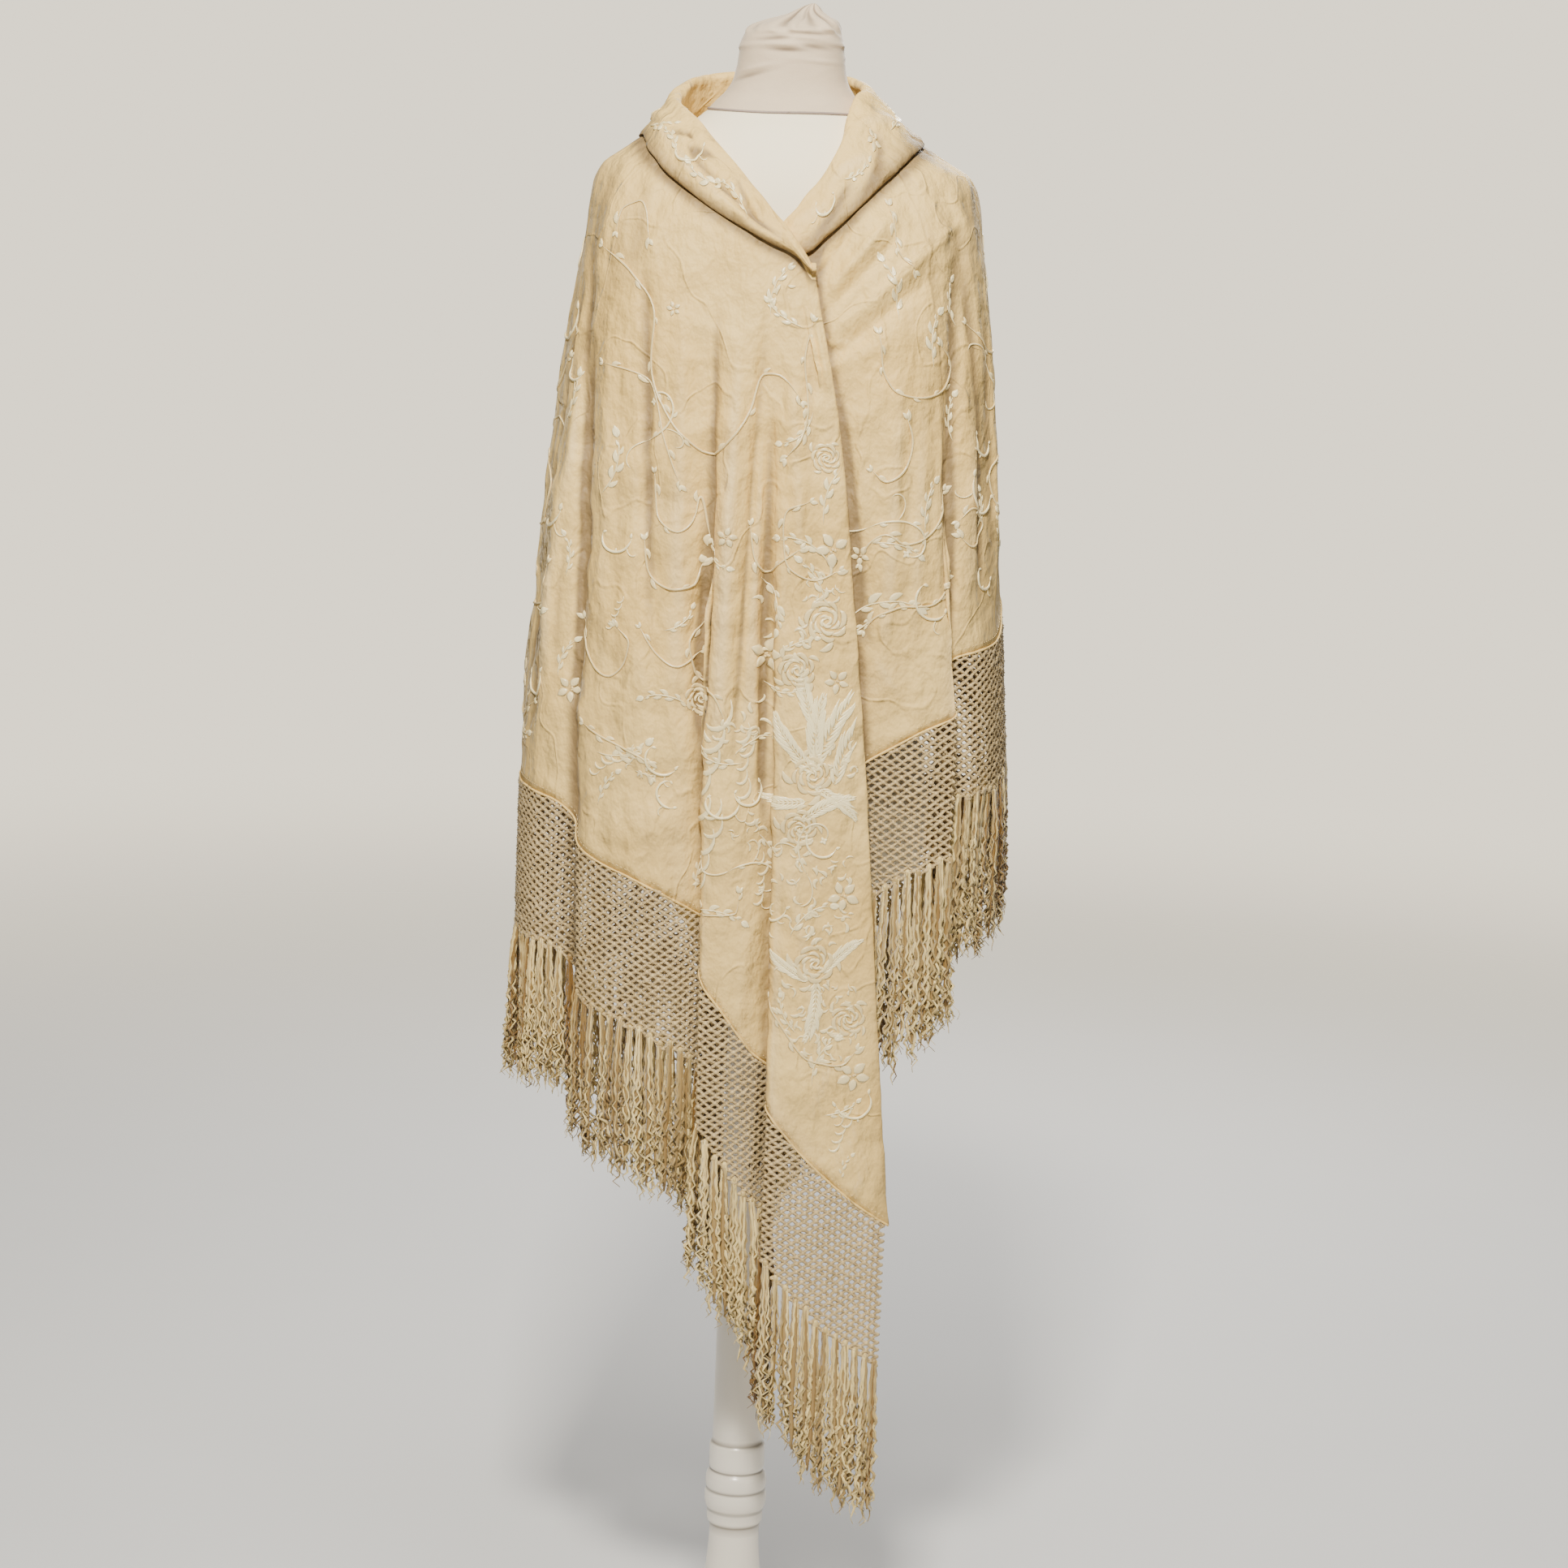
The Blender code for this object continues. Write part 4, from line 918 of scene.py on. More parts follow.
stitch_z = at_column(stitch_steps, walk["hem_z"]) + 0.0062
stitch_row, _ = panel_row(stitch_steps, stitch_z)
stitch_path = on_sheet(outer, stitch_row, stitch_steps)
stitch_out = on_sheet(whole_normals, stitch_row, stitch_steps)
stitch_size = np.full(stitch_steps.shape, STITCH_RADIUS)
FLOSS_SHINE = {"Sheen Weight": 0.05, "Sheen Roughness": 0.3, "Specular IOR Level": 0.7}
floss, wire = finish("embroidery_floss", FLOSS_SHINE)
thread = wire.threadway()
strands = thread.spread(300.0, 2600.0).mottle(1.0, 1.0)
# Higher shade values give satin leaves and petals a paler floss together with a painted satin highlight.
bright = wire.held("shade")
feed(
    floss,
    base_color=bright.tint((0.64, 0.43, 0.14, 1), (1.0, 0.86, 0.49, 1)),
    roughness=0.36 - bright * 0.08,
    normal=strands.relief(0.6, 0.0005),
)
stitch_points = along_tube(stitch_path, stitch_size, stitch_size, stitch_out, STITCH_SIDES, np.pi / 4)
stitches = add_piece(
    "hem_stitches",
    stitch_points,
    tube_faces(len(stitch_at), 3, STITCH_SIDES),
    floss,
    uv=np.zeros((stitch_points.size // 3, 2)),
    held={"shade": np.full(stitch_points.size // 3, 0.35)},
)
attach(stitches, "root")


# The embroidery: flowers, feathery leaves, sprigs and curling stems in cream silk floss, worked by
# hand in satin stitch and stem stitch, thick near the corners of the square and sparse elsewhere.
levels = np.linspace(0.50, 1.60, 111)
level_runs = np.stack([run_of(row) for row in cloth_point(walk, levels[:, None])])
run_steps = np.linspace(0, level_runs.max(), 1400)
level_columns = np.stack([np.interp(run_steps, run, np.arange(columns)) for run in level_runs])


def on_levels(table, level, place):
    """Bilinear reading of a table of numbers at a height's level and a place across."""
    return on_sheet(table[..., None], level, place)[..., 0]


def sewn_point(anchor_column, anchor_z, across, up, height):
    """A place on the cloth, measured in metres across and up from an anchor and out from the surface."""
    z = anchor_z + up
    level = (z - levels[0]) / (levels[1] - levels[0])
    here = on_levels(level_runs, level, anchor_column + 0 * z)
    column = on_levels(level_columns, level, (here + across) / (run_steps[1] - run_steps[0]))
    row, share = panel_row(column, z)
    point = on_sheet(outer, row, column) + on_sheet(whole_normals, row, column) * height[..., None]
    inside = (share > 0.012) & (share < 0.985) & (column > 2) & (column < columns - 3)
    return point, inside


STEM_SIDES = 5
PETAL_SIDES = 6


def toward(heading):
    """The unit vector (sin h, cos h) of a heading h, which is 0 straight up and grows to the right."""
    return np.stack([np.sin(heading), np.cos(heading)], axis=-1)


class Needlework:
    """Flattened tubes of floss: each has a middle line, a width and a height, in a motif's own metres."""

    def __init__(self):
        self.tubes = []

    def petals(self, start, heading, length, width, bend, height, shade, steps=7):
        """Leaf shapes: line s + L t (sin, cos)(h + b t), width w * sin(pi t^0.85)^0.8."""
        t = np.linspace(0, 1, steps)[None, :]
        way = heading[:, None] + bend[:, None] * t
        line = start[:, None, :] + (length[:, None] * t)[..., None] * toward(way)
        full = np.maximum(np.sin(np.pi * t**0.85), 0.06) ** 0.8
        high = height * (0.35 + 0.65 * full) + 0 * width[:, None]
        self.tubes.append((line, width[:, None] * full, high, np.broadcast_to(shade, len(start))))

    def stem(self, start, heading, length, turn, curl, width, shade, steps=30):
        """A stem: heading h + turn t + curl t^3, line its integral, width w tapering at both ends."""
        t = np.linspace(0, 1, steps)
        way = heading + turn * t + curl * t**3
        step = toward(way) * length / (steps - 1)
        line = np.asarray(start) + np.concatenate([[[0, 0]], np.cumsum((step[1:] + step[:-1]) / 2, axis=0)])
        full = np.clip(np.minimum(t, 1 - t) * 7, 0.25, 1)
        self.tubes.append((line[None], width * full[None], width * 1.3 * full[None], np.array([shade])))
        return line, way


def flower(stems, petals, size, chance):
    """Five round petals about a knot of three dots."""
    count = 5
    heading = np.arange(count) * 2 * np.pi / count + chance.uniform(0, 1)
    length = size * 0.42 * chance.uniform(0.9, 1.1, count)
    bend = chance.normal(0, 0.15, count)
    petals.petals(toward(heading) * size * 0.10, heading, length, length * 0.36, bend, 0.0012, 0.65)
    dots = chance.uniform(-1, 1, (3, 2)) * size * 0.05
    heading = chance.uniform(0, 6, 3)
    length = np.full(3, size * 0.10)
    petals.petals(dots, heading, length, length / 2, np.zeros(3), 0.0011, 0.3)


def blossom(stems, petals, size, chance):
    """A full rose: three rings of crescent petals that follow each other round, with leaves behind it."""
    rings = ((7, 0.38, 0.45, 0.0011), (6, 0.25, 0.65, 0.0014), (4, 0.12, 0.8, 0.0017))
    for count, reach, shade, height in rings:
        heading = np.arange(count) * 2 * np.pi / count + chance.uniform(0, 1)
        length = size * reach * 2 * np.pi / count * chance.uniform(0.95, 1.25, count)
        bend = np.full(count, 2 * np.pi / count) * chance.uniform(1.0, 1.4, count)
        start = toward(heading) * size * reach
        petals.petals(start, heading + 1.25, length, length * 0.17, bend, height, shade)
    heading = np.arange(4) * 2 * np.pi / 4 + chance.uniform(0, 1.5)
    length = size * 0.30 * chance.uniform(0.8, 1.2, 4)
    start = toward(heading) * size * 0.42
    petals.petals(start, heading + 0.5, length, length * 0.22, np.full(4, 0.7), 0.0008, 0.6)


def feather(stems, petals, size, chance):
    """A long feathery leaf: fifteen pairs of narrow leaflets on a bent rib."""
    line, way = stems.stem((0, -size * 0.5), -0.1, size, 0.35, 0.2, 0.0007, 0.8)
    pairs = 15
    place = np.linspace(2, 28, pairs).astype(int)
    for side in (-1, 1):
        share = place / 29
        length = size * 0.30 * np.sin(np.pi * (0.15 + 0.78 * share)) * chance.uniform(0.8, 1.15, pairs)
        heading = way[place] + side * (0.75 - 0.30 * share)
        bend = np.full(pairs, -side * 0.3)
        petals.petals(line[place], heading, length, length * 0.055 + 0.0005, bend, 0.0009, 1.0)


def sprig(stems, petals, size, chance):
    """A bent stem with leaves to both sides and a bud at its tip."""
    turn = chance.choice((-1, 1)) * chance.uniform(0.5, 1.1)
    line, way = stems.stem((0, -size * 0.5), -turn / 2, size, turn, 0.2 * turn, 0.0008, 0.75)
    place = np.array([5, 9, 13, 17, 21, 25])
    side = np.array([1, -1, 1, -1, 1, -1])
    length = size * np.array([0.20, 0.22, 0.22, 0.20, 0.17, 0.13]) * chance.uniform(0.85, 1.15, 6)
    petals.petals(line[place], way[place] + side * 0.8, length, length * 0.24, -side * 0.4, 0.0008, 0.8)
    tip = np.repeat(line[-1:], 3, axis=0)
    length = np.array([0.16, 0.20, 0.16]) * size
    heading = way[-1] + np.array([-0.5, 0, 0.5])
    petals.petals(tip, heading, length, length * 0.26, np.array([0.3, 0, -0.3]), 0.0011, 1.0)


def scroll(stems, petals, size, chance):
    """A curling stem: an open sweep that ends in a hook, with two tendrils, three leaves and a flower."""
    hand = chance.choice((-1, 1))
    curl = hand * chance.uniform(3.0, 3.8)
    line, way = stems.stem((0, 0), 0, size * 1.9, hand * 1.3, curl, 0.0011, 0.85, 36)
    stems.stem(line[10], way[10] - hand * 0.7, size * 0.8, -hand * 1.2, -hand * 2.6, 0.0008, 0.7)
    stems.stem(line[0], way[0] + np.pi, size * 0.9, hand * 0.9, hand * 1.6, 0.0009, 0.7)
    place = np.array([4, 16, 23])
    side = np.array([1, -1, 1]) * hand
    length = size * np.array([0.16, 0.17, 0.14])
    petals.petals(line[place], way[place] + side * 0.9, length, length * 0.26, -side * 0.5, 0.0009, 0.85)
    tip = np.repeat(line[-1:], 4, axis=0)
    heading = way[-1] + np.arange(4) * np.pi / 2
    length = np.full(4, size * 0.09)
    petals.petals(tip, heading, length, length * 0.4, np.zeros(4), 0.0010, 1.0)


def hook(stems, petals, size, chance):
    """A deep open arc with a side stem, a leaf at each end and one between."""
    hand = chance.choice((-1, 1))
    start = (-hand * size * 0.45, size * 0.3)
    heading = hand * 0.15 + np.pi
    line, way = stems.stem(start, heading, size * 1.45, -hand * 2.9, -hand * 0.4, 0.0014, 0.95, 32)
    stems.stem(line[6], way[6] + hand * 0.8, size * 0.45, hand * 1.2, hand * 1.6, 0.0008, 0.7)
    ends = [0, -1, 14]
    heading = way[ends] + np.array([2.6, 0.4, 1.2])
    length = size * np.array([0.16, 0.14, 0.12])
    petals.petals(line[ends], heading, length, length * 0.3, np.full(3, 0.4), 0.0010, 0.9)


def arcs(stems, petals, size, chance):
    """A ladder of five small crescents, one above the other."""
    up = (np.arange(5) - 2) * size * 0.23
    start = np.stack([np.full(5, -size * 0.14) + chance.normal(0, size * 0.03, 5), up], axis=-1)
    length = size * chance.uniform(0.28, 0.38, 5)
    petals.petals(start, np.full(5, 2.5), length, length * 0.075 + 0.0004, np.full(5, -1.9), 0.0011, 0.8, 9)


def bed(stems, petals, size, chance):
    """Close ground work: many small crescents and leaves scattered over a patch."""
    count = 16
    start = chance.uniform(-0.5, 0.5, (count, 2)) * size
    length = size * chance.uniform(0.13, 0.26, count)
    bend = chance.choice((-1.9, -1.0, 1.0, 1.9), count)
    wide = length * chance.uniform(0.07, 0.20, count) + 0.0004
    petals.petals(start, chance.uniform(0, 6.28, count), length, wide, bend, 0.0010, 0.7)


# The motifs on each side: place across and up in mm, kind, size in mm, and turn in degrees.
MOTIFS = (
    ("front", (
        (-52, 985, arcs, 100, 0), (-48, 905, arcs, 80, 10), (-20, 1040, bed, 56, 0),
        (-16, 990, arcs, 60, -10), (-14, 925, bed, 44, 0), (22, 1130, bed, 54, 0),
        (52, 1170, bed, 40, 0), (70, 1000, bed, 40, 0), (30, 905, bed, 54, 0),
        (68, 890, bed, 40, 0), (30, 845, bed, 50, 0), (70, 835, bed, 40, 0), (45, 770, bed, 50, 0),
        (78, 765, bed, 36, 0), (78, 715, bed, 40, 0), (-120, 985, bed, 40, 0),
        (-150, 985, arcs, 44, 60), (-60, 1050, bed, 30, 0),
    )),
    ("back", (
        (0, 960, bed, 60, 0), (-40, 1000, arcs, 70, 10), (40, 990, bed, 56, 0),
        (-10, 1080, bed, 56, 0), (20, 900, bed, 56, 0), (-50, 920, arcs, 60, -10),
        (-10, 830, bed, 50, 0), (20, 800, bed, 40, 0),
    )),
    ("front", (
        (-102, 1426, flower, 15, 0), (-2, 1447, sprig, 50, 30), (6, 1425, sprig, 40, -60),
        (-159, 1274, sprig, 60, 20), (-120, 1300, scroll, 44, 60), (-45, 1213, flower, 20, 0),
        (-52, 1196, sprig, 40, 140), (20, 1318, sprig, 46, -150), (49, 1292, blossom, 32, 0),
        (56, 1256, sprig, 56, 10), (30, 1205, sprig, 56, -60), (60, 1205, flower, 34, 0),
        (44, 1172, sprig, 50, -30), (-63, 1053, blossom, 36, 0), (-98, 1052, sprig, 44, -80),
        (-192, 1050, flower, 26, 0), (-200, 1080, sprig, 40, 20), (56, 1136, blossom, 46, 0),
        (4, 1150, sprig, 54, 160), (0, 1100, flower, 34, 0), (30, 1088, blossom, 40, 0),
        (68, 1078, flower, 24, 0), (40, 1055, feather, 70, -20), (78, 1010, feather, 80, 5),
        (50, 1025, feather, 80, -10), (86, 985, feather, 60, 30), (60, 955, feather, 60, 60),
        (30, 1112, sprig, 36, 60), (78, 1105, sprig, 34, -20), (12, 1070, sprig, 40, 100),
        (66, 1030, feather, 92, 25), (30, 1012, feather, 74, -45), (50, 985, blossom, 44, 0),
        (74, 962, feather, 56, 120), (18, 958, feather, 60, -100), (38, 934, blossom, 40, 0),
        (-136, 1000, sprig, 56, 80), (-102, 990, hook, 36, 60), (-44, 1000, sprig, 50, -70),
        (-12, 1012, sprig, 46, 60), (-42, 950, hook, 36, 20), (-10, 962, hook, 34, -10),
        (-150, 960, sprig, 40, 30), (-28, 888, scroll, 44, 60), (6, 905, sprig, 46, 150),
        (46, 888, scroll, 46, -40), (62, 915, hook, 36, 30), (-40, 842, sprig, 50, 100),
        (12, 850, hook, 40, 0), (52, 842, sprig, 54, 40), (82, 866, flower, 32, 0),
        (58, 798, blossom, 44, 0), (32, 792, feather, 50, -60), (86, 806, feather, 54, 40),
        (60, 752, feather, 66, 170), (34, 745, sprig, 40, -30), (90, 742, blossom, 40, 0),
        (70, 700, sprig, 54, 20), (100, 684, flower, 32, 0), (108, 652, hook, 40, -30),
        (88, 650, sprig, 36, 70), (-150, 1200, hook, 34, 20), (-86, 1130, sprig, 36, 60),
        (-150, 1130, arcs, 30, 20), (-200, 1180, sprig, 40, 0), (-200, 1360, hook, 34, 40),
        (-60, 880, sprig, 40, 20), (0, 875, arcs, 44, 0), (-95, 960, hook, 30, 100),
        (56, 730, bed, 40, 0), (90, 625, arcs, 40, 30), (94, 590, sprig, 30, 20),
        (202, 1300, hook, 32, 0), (200, 1240, sprig, 36, 10), (206, 1170, hook, 30, 40),
        (150, 1405, sprig, 56, 15), (104, 1452, sprig, 56, -10), (90, 1226, scroll, 50, 70),
        (82, 1198, flower, 20, 0), (150, 1246, sprig, 52, 25), (118, 1206, sprig, 50, 100),
        (112, 1146, sprig, 70, 75), (152, 1152, hook, 44, 60), (88, 1130, sprig, 36, -120),
        (170, 1330, sprig, 44, 0),
    )),
    ("right", (
        (-90, 1440, sprig, 44, 0), (-60, 1380, scroll, 50, 160), (-80, 1250, hook, 52, 20),
        (-40, 1210, sprig, 54, -30), (10, 1440, scroll, 56, 40), (40, 1350, flower, 34, 0),
        (20, 1290, hook, 56, -20), (60, 1230, sprig, 56, 60), (90, 1420, sprig, 50, -20),
        (0, 1185, sprig, 50, 90),
    )),
    ("left", (
        (50, 1450, scroll, 60, 30), (-20, 1400, hook, 54, 0), (60, 1330, flower, 34, 0),
        (-70, 1330, sprig, 52, 20), (0, 1290, scroll, 60, -150), (70, 1220, sprig, 60, -30),
        (-60, 1220, hook, 50, 30), (10, 1160, blossom, 42, 0), (-50, 1120, sprig, 54, 80),
        (60, 1100, sprig, 56, -60), (0, 1050, flower, 38, 0), (50, 1010, sprig, 52, 30),
        (-70, 1050, hook, 44, -20), (-40, 1000, sprig, 46, 100),
    )),
    ("back", (
        (-120, 1490, scroll, 56, 60), (110, 1480, scroll, 56, -80), (0, 1480, hook, 56, 0),
        (-50, 1420, flower, 32, 0), (60, 1400, sprig, 56, -20), (-130, 1380, hook, 56, 20),
        (140, 1340, scroll, 54, 140), (0, 1350, scroll, 60, 160), (-80, 1300, sprig, 60, 30),
        (70, 1270, hook, 56, -10), (-150, 1250, scroll, 52, -40), (10, 1230, blossom, 48, 0),
        (-60, 1190, sprig, 56, -50), (130, 1200, sprig, 56, 60), (60, 1160, sprig, 56, 20),
        (-140, 1130, hook, 50, 30), (-100, 1080, blossom, 44, 0), (0, 1130, scroll, 54, -150),
        (90, 1080, hook, 46, 40), (-40, 1050, feather, 80, -20), (30, 1030, blossom, 58, 0),
        (60, 985, feather, 60, 60), (-90, 1010, sprig, 54, 60), (-10, 985, feather, 70, -60),
        (-130, 1020, sprig, 44, 0), (-50, 960, blossom, 52, 0), (20, 940, blossom, 56, 0),
        (-90, 940, sprig, 52, -40), (60, 915, sprig, 50, 30), (-20, 900, feather, 72, 20),
        (-60, 890, hook, 40, 0), (20, 870, blossom, 50, 0), (40, 830, sprig, 44, 60),
        (-35, 840, blossom, 48, 0), (0, 805, feather, 60, 0), (-30, 780, sprig, 40, -40),
        (15, 760, flower, 34, 0),
    )),
)
# Long curving stems on each side: leaves, width, and the places that each passes, as across and up in mm.
VINES = (
    ("front", (
        (5, 1.15, (-175, 1480, -145, 1460, -120, 1420, -120, 1370, -100, 1320, -60, 1290, -30, 1330, -15,
         1370, 0, 1370, 25, 1345)),
        (3, 0.9, (-170, 1370, -140, 1365, -120, 1355, -105, 1300, -90, 1260)),
        (2, 1, (-115, 1270, -110, 1230, -90, 1215, -75, 1230, -70, 1250, -60, 1210)),
        (2, 1.1, (-120, 1205, -115, 1175, -95, 1160, -75, 1165, -65, 1185)),
        (3, 1, (30, 1420, 25, 1380, 30, 1340, 25, 1310, 10, 1290)),
        (3, 1, (35, 1250, 15, 1240, 10, 1220, 15, 1190, 40, 1175, 65, 1185)),
        (2, 1, (-20, 1225, -15, 1190, -5, 1180, 10, 1190, 25, 1205)),
        (1, 1, (-180, 1120, -175, 1090, -155, 1070, -135, 1085, -130, 1105, -145, 1120)),
        (1, 1, (-125, 1120, -105, 1095, -85, 1085, -65, 1100)),
        (4, 1, (-175, 1020, -155, 1010, -130, 1000, -110, 990, -105, 975)),
        (4, 1, (95, 1410, 100, 1380, 115, 1355, 135, 1350, 160, 1360, 165, 1380, 155, 1400)),
        (1, 1.2, (95, 1280, 110, 1270, 125, 1285, 130, 1310, 125, 1330)),
        (4, 1, (83, 1190, 90, 1210, 110, 1220, 130, 1210, 150, 1220, 165, 1260)),
        (5, 1, (90, 1125, 105, 1140, 130, 1150, 155, 1150, 170, 1175)),
        (1, 0.9, (180, 1230, 193, 1243, 205, 1225, 195, 1205, 183, 1215)),
        (3, 0.8, (100, 1530, 105, 1510, 110, 1490, 125, 1470)),
        (1, 0.8, (-160, 1495, -155, 1515, -140, 1525, -130, 1515, -130, 1490)),
        (2, 1, (-60, 870, -50, 850, -40, 840, -20, 845, -15, 865)),
        (5, 1, (15, 760, 35, 725, 60, 700, 85, 695, 105, 710)),
        (2, 0.9, (-5, 1440, 5, 1453, 20, 1455, 32, 1445)),
        (3, 1, (-60, 1130, -75, 1105, -70, 1075, -50, 1060, -40, 1035)),
    )),
    ("left", (
        (4, 1.1, (80, 1440, 50, 1410, 40, 1360, 0, 1330, -40, 1370)),
        (3, 1, (60, 1260, 30, 1210, -10, 1200, -30, 1240, -10, 1270)),
        (4, 1, (-80, 1170, -50, 1130, 0, 1120, 40, 1150, 70, 1130)),
        (4, 1, (-60, 1030, -20, 1010, 20, 1030, 60, 1000)),
    )),
    ("right", (
        (4, 1.1, (-80, 1420, -50, 1390, -20, 1400, 20, 1370, 30, 1330)),
        (3, 1, (-30, 1300, -60, 1270, -40, 1230, 0, 1240, 10, 1270)),
        (3, 1, (80, 1330, 60, 1280, 80, 1240, 100, 1260)),
    )),
    ("back", (
        (5, 1.1, (-150, 1460, -110, 1440, -90, 1390, -40, 1360, 0, 1400, 20, 1430)),
        (4, 1.1, (140, 1440, 120, 1390, 80, 1360, 50, 1320, 70, 1280)),
        (4, 1, (-140, 1310, -120, 1260, -70, 1250, -40, 1290, -10, 1270)),
        (4, 1, (150, 1240, 110, 1220, 80, 1180, 30, 1190, 20, 1230)),
        (3, 1, (-120, 1190, -90, 1140, -40, 1130, -20, 1170)),
        (3, 1, (120, 1130, 80, 1110, 60, 1060, 90, 1030)),
        (4, 1, (-90, 1050, -70, 990, -30, 970, 0, 1000)),
        (4, 1, (50, 920, 30, 870, -10, 860, -30, 800)),
    )),
)
# The collar's motifs: plan angle, place up its fall in hundredths, kind, size in mm, and turn in degrees.
COLLAR_MOTIFS = (
    (338, 45, sprig, 44, 70), (324, 50, sprig, 50, 110), (312, 55, hook, 34, 30),
    (301, 45, sprig, 44, 80), (288, 55, sprig, 40, -60), (262, 50, hook, 36, 0),
    (238, 50, sprig, 46, 90), (212, 50, scroll, 30, 90), (180, 45, sprig, 46, -90),
    (150, 50, flower, 26, 0), (126, 50, sprig, 46, 80), (98, 50, hook, 34, 20),
    (72, 45, sprig, 40, -80), (50, 55, flower, 24, 0), (34, 50, sprig, 40, -110),
    (18, 50, hook, 28, 0),
)
sewn = {"stems": ([], [], []), "petals": ([], [], [])}
collar_edge_row = UNDER_ROWS + len(EDGE_TURNS)
fall_length = run_down[collar_edge_row + FALL_ROWS - 1] - run_down[collar_edge_row]
collar_run = run_along[collar_edge_row + FALL_ROWS // 2]


def collar_point(anchor_column, anchor_share, across, up, height):
    """A place on the collar's fall, measured from an anchor; the fall shows the cloth's other face."""
    here = at_column(anchor_column, collar_run)
    column = np.interp(here - across, collar_run, np.arange(columns))
    share = anchor_share + up / at_column(column, fall_length)
    row = collar_edge_row + (FALL_ROWS - 1) * share
    point = on_sheet(inner, row, column) - on_sheet(whole_normals, row, column) * height[..., None]
    inside = (share > 0.08) & (share < 1.35) & (column > 3) & (column < columns - 8)
    return point, inside


def sew(stems, petals, anchor_column, anchor_z, turn, place=sewn_point):
    """Turns a motif's tubes about its anchor, wraps them onto the cloth, and keeps those that lie inside."""
    tubes = [(STEM_SIDES, sewn["stems"], tube) for tube in stems.tubes]
    tubes += [(PETAL_SIDES, sewn["petals"], tube) for tube in petals.tubes]
    for sides, store, (line, wide, high, shade) in tubes:
        ahead = unit(np.gradient(line, axis=1))
        across = np.stack([ahead[..., 1], -ahead[..., 0]], axis=-1)
        ring = round_turn(sides)[None, None, :]
        flat = line[:, :, None, :] + across[:, :, None, :] * (wide[:, :, None] * np.cos(ring))[..., None]
        height = high[:, :, None] * (np.sin(ring) * 0.62 + 0.38)
        x = flat[..., 0] * np.cos(turn) + flat[..., 1] * np.sin(turn)
        y = flat[..., 1] * np.cos(turn) - flat[..., 0] * np.sin(turn)
        point, inside = place(anchor_column, anchor_z, x, y, height)
        keep = inside.all(axis=(1, 2))
        length = np.linalg.norm(np.diff(line, axis=1), axis=-1).sum(axis=1)
        t = np.linspace(0, 1, line.shape[1])[None, :, None]
        uv = np.stack([t * length[:, None, None] + 0 * height, ring / 6.28 * 0.004 + 0 * height], axis=-1)
        for lot, values in zip(store, (point, uv, shade[:, None, None] + 0 * height)):
            lot.append((line.shape[1], values[keep]))


def work_motif(kind, size, anchor_column, anchor_z, turn, sway, place):
    """Works one motif and sews it on, turned by its own angle and by a chance one within sway degrees."""
    stems = Needlework()
    petals = Needlework()
    kind(stems, petals, size / 1000, chance)
    turn = turn + chance.normal(0, sway) if sway else turn
    sew(stems, petals, anchor_column, anchor_z, np.radians(turn), place)


anchor_sheet = sheet[collar_rows:]
anchor_normals = normals[collar_rows:]


def nearest_column(side, across, up):
    """The column of the cloth that shows at a place seen from one side."""
    across_axis, out_axis, sign = FACINGS[side]
    away = (anchor_sheet[..., across_axis] - across) ** 2 + (anchor_sheet[..., 2] - up) ** 2
    away += 9 * (sign * anchor_normals[..., out_axis] < 0.15)
    away += 9 * (sign * anchor_sheet[..., out_axis] < 0)
    under = (anchor_sheet[..., 0] < 0.075) & (np.arange(columns)[None, :] < 54) & (side == "front")
    return float(np.argmin(away + 9 * under) % columns)


chance = np.random.default_rng(41)
for side, leaves, width, passed in [(side, *vine) for side, vines in VINES for vine in vines]:
    passed = np.array(passed).reshape(-1, 2) / 1000
    anchor_column = nearest_column(side, *passed[0])
    anchor_z = passed[0][1]
    known = []
    for across, up in passed:
        level = np.array((up - levels[0]) / (levels[1] - levels[0]))
        here = on_levels(level_runs, level, np.array(anchor_column))
        there = on_levels(level_runs, level, np.array(nearest_column(side, across, up)))
        known.append((float(there - here), up - anchor_z))
    known = np.array(known)
    run = run_of(known)
    at = np.linspace(0, run[-1], 16 + 5 * len(known))
    line = np.stack([smooth(at, run, known[:, 0]), smooth(at, run, known[:, 1])], axis=-1)
    for _ in range(2):
        line[1:-1] = (line[:-2] + 2 * line[1:-1] + line[2:]) / 4
    stems = Needlework()
    petals = Needlework()
    full = np.clip(np.minimum(np.arange(len(line)), len(line) - 1 - np.arange(len(line))) / 4, 0.3, 1)
    full = width * full[None]
    stems.tubes.append((line[None], 0.0011 * full, 0.0016 * full, np.array([0.45])))
    ahead = np.gradient(line, axis=0)
    way = np.arctan2(ahead[:, 0], ahead[:, 1])
    place = np.linspace(3, len(line) - 2, leaves * 2).astype(int)
    side_of = np.where(np.arange(len(place)) % 2, 1, -1)
    length = chance.uniform(0.007, 0.013, len(place))
    petals.petals(line[place], way[place] + side_of * 0.8, length, length * 0.22, -side_of * 0.5, 0.0012, 0.6)
    tips = np.repeat(line[[0, -1]], 2, axis=0)
    length = chance.uniform(0.006, 0.009, 4)
    heading = way[[0, 0, -1, -1]] + np.array([2.7, 3.6, -0.4, 0.4])
    petals.petals(tips, heading, length, length * 0.3, np.zeros(4), 0.0014, 0.8)
    sew(stems, petals, anchor_column, anchor_z, 0.0)
for angle, share, kind, size, turn in COLLAR_MOTIFS:
    anchor_column = float(np.interp(angle, walk["high"], np.arange(columns)))
    work_motif(kind, size, anchor_column, share / 100, turn, 0, collar_point)
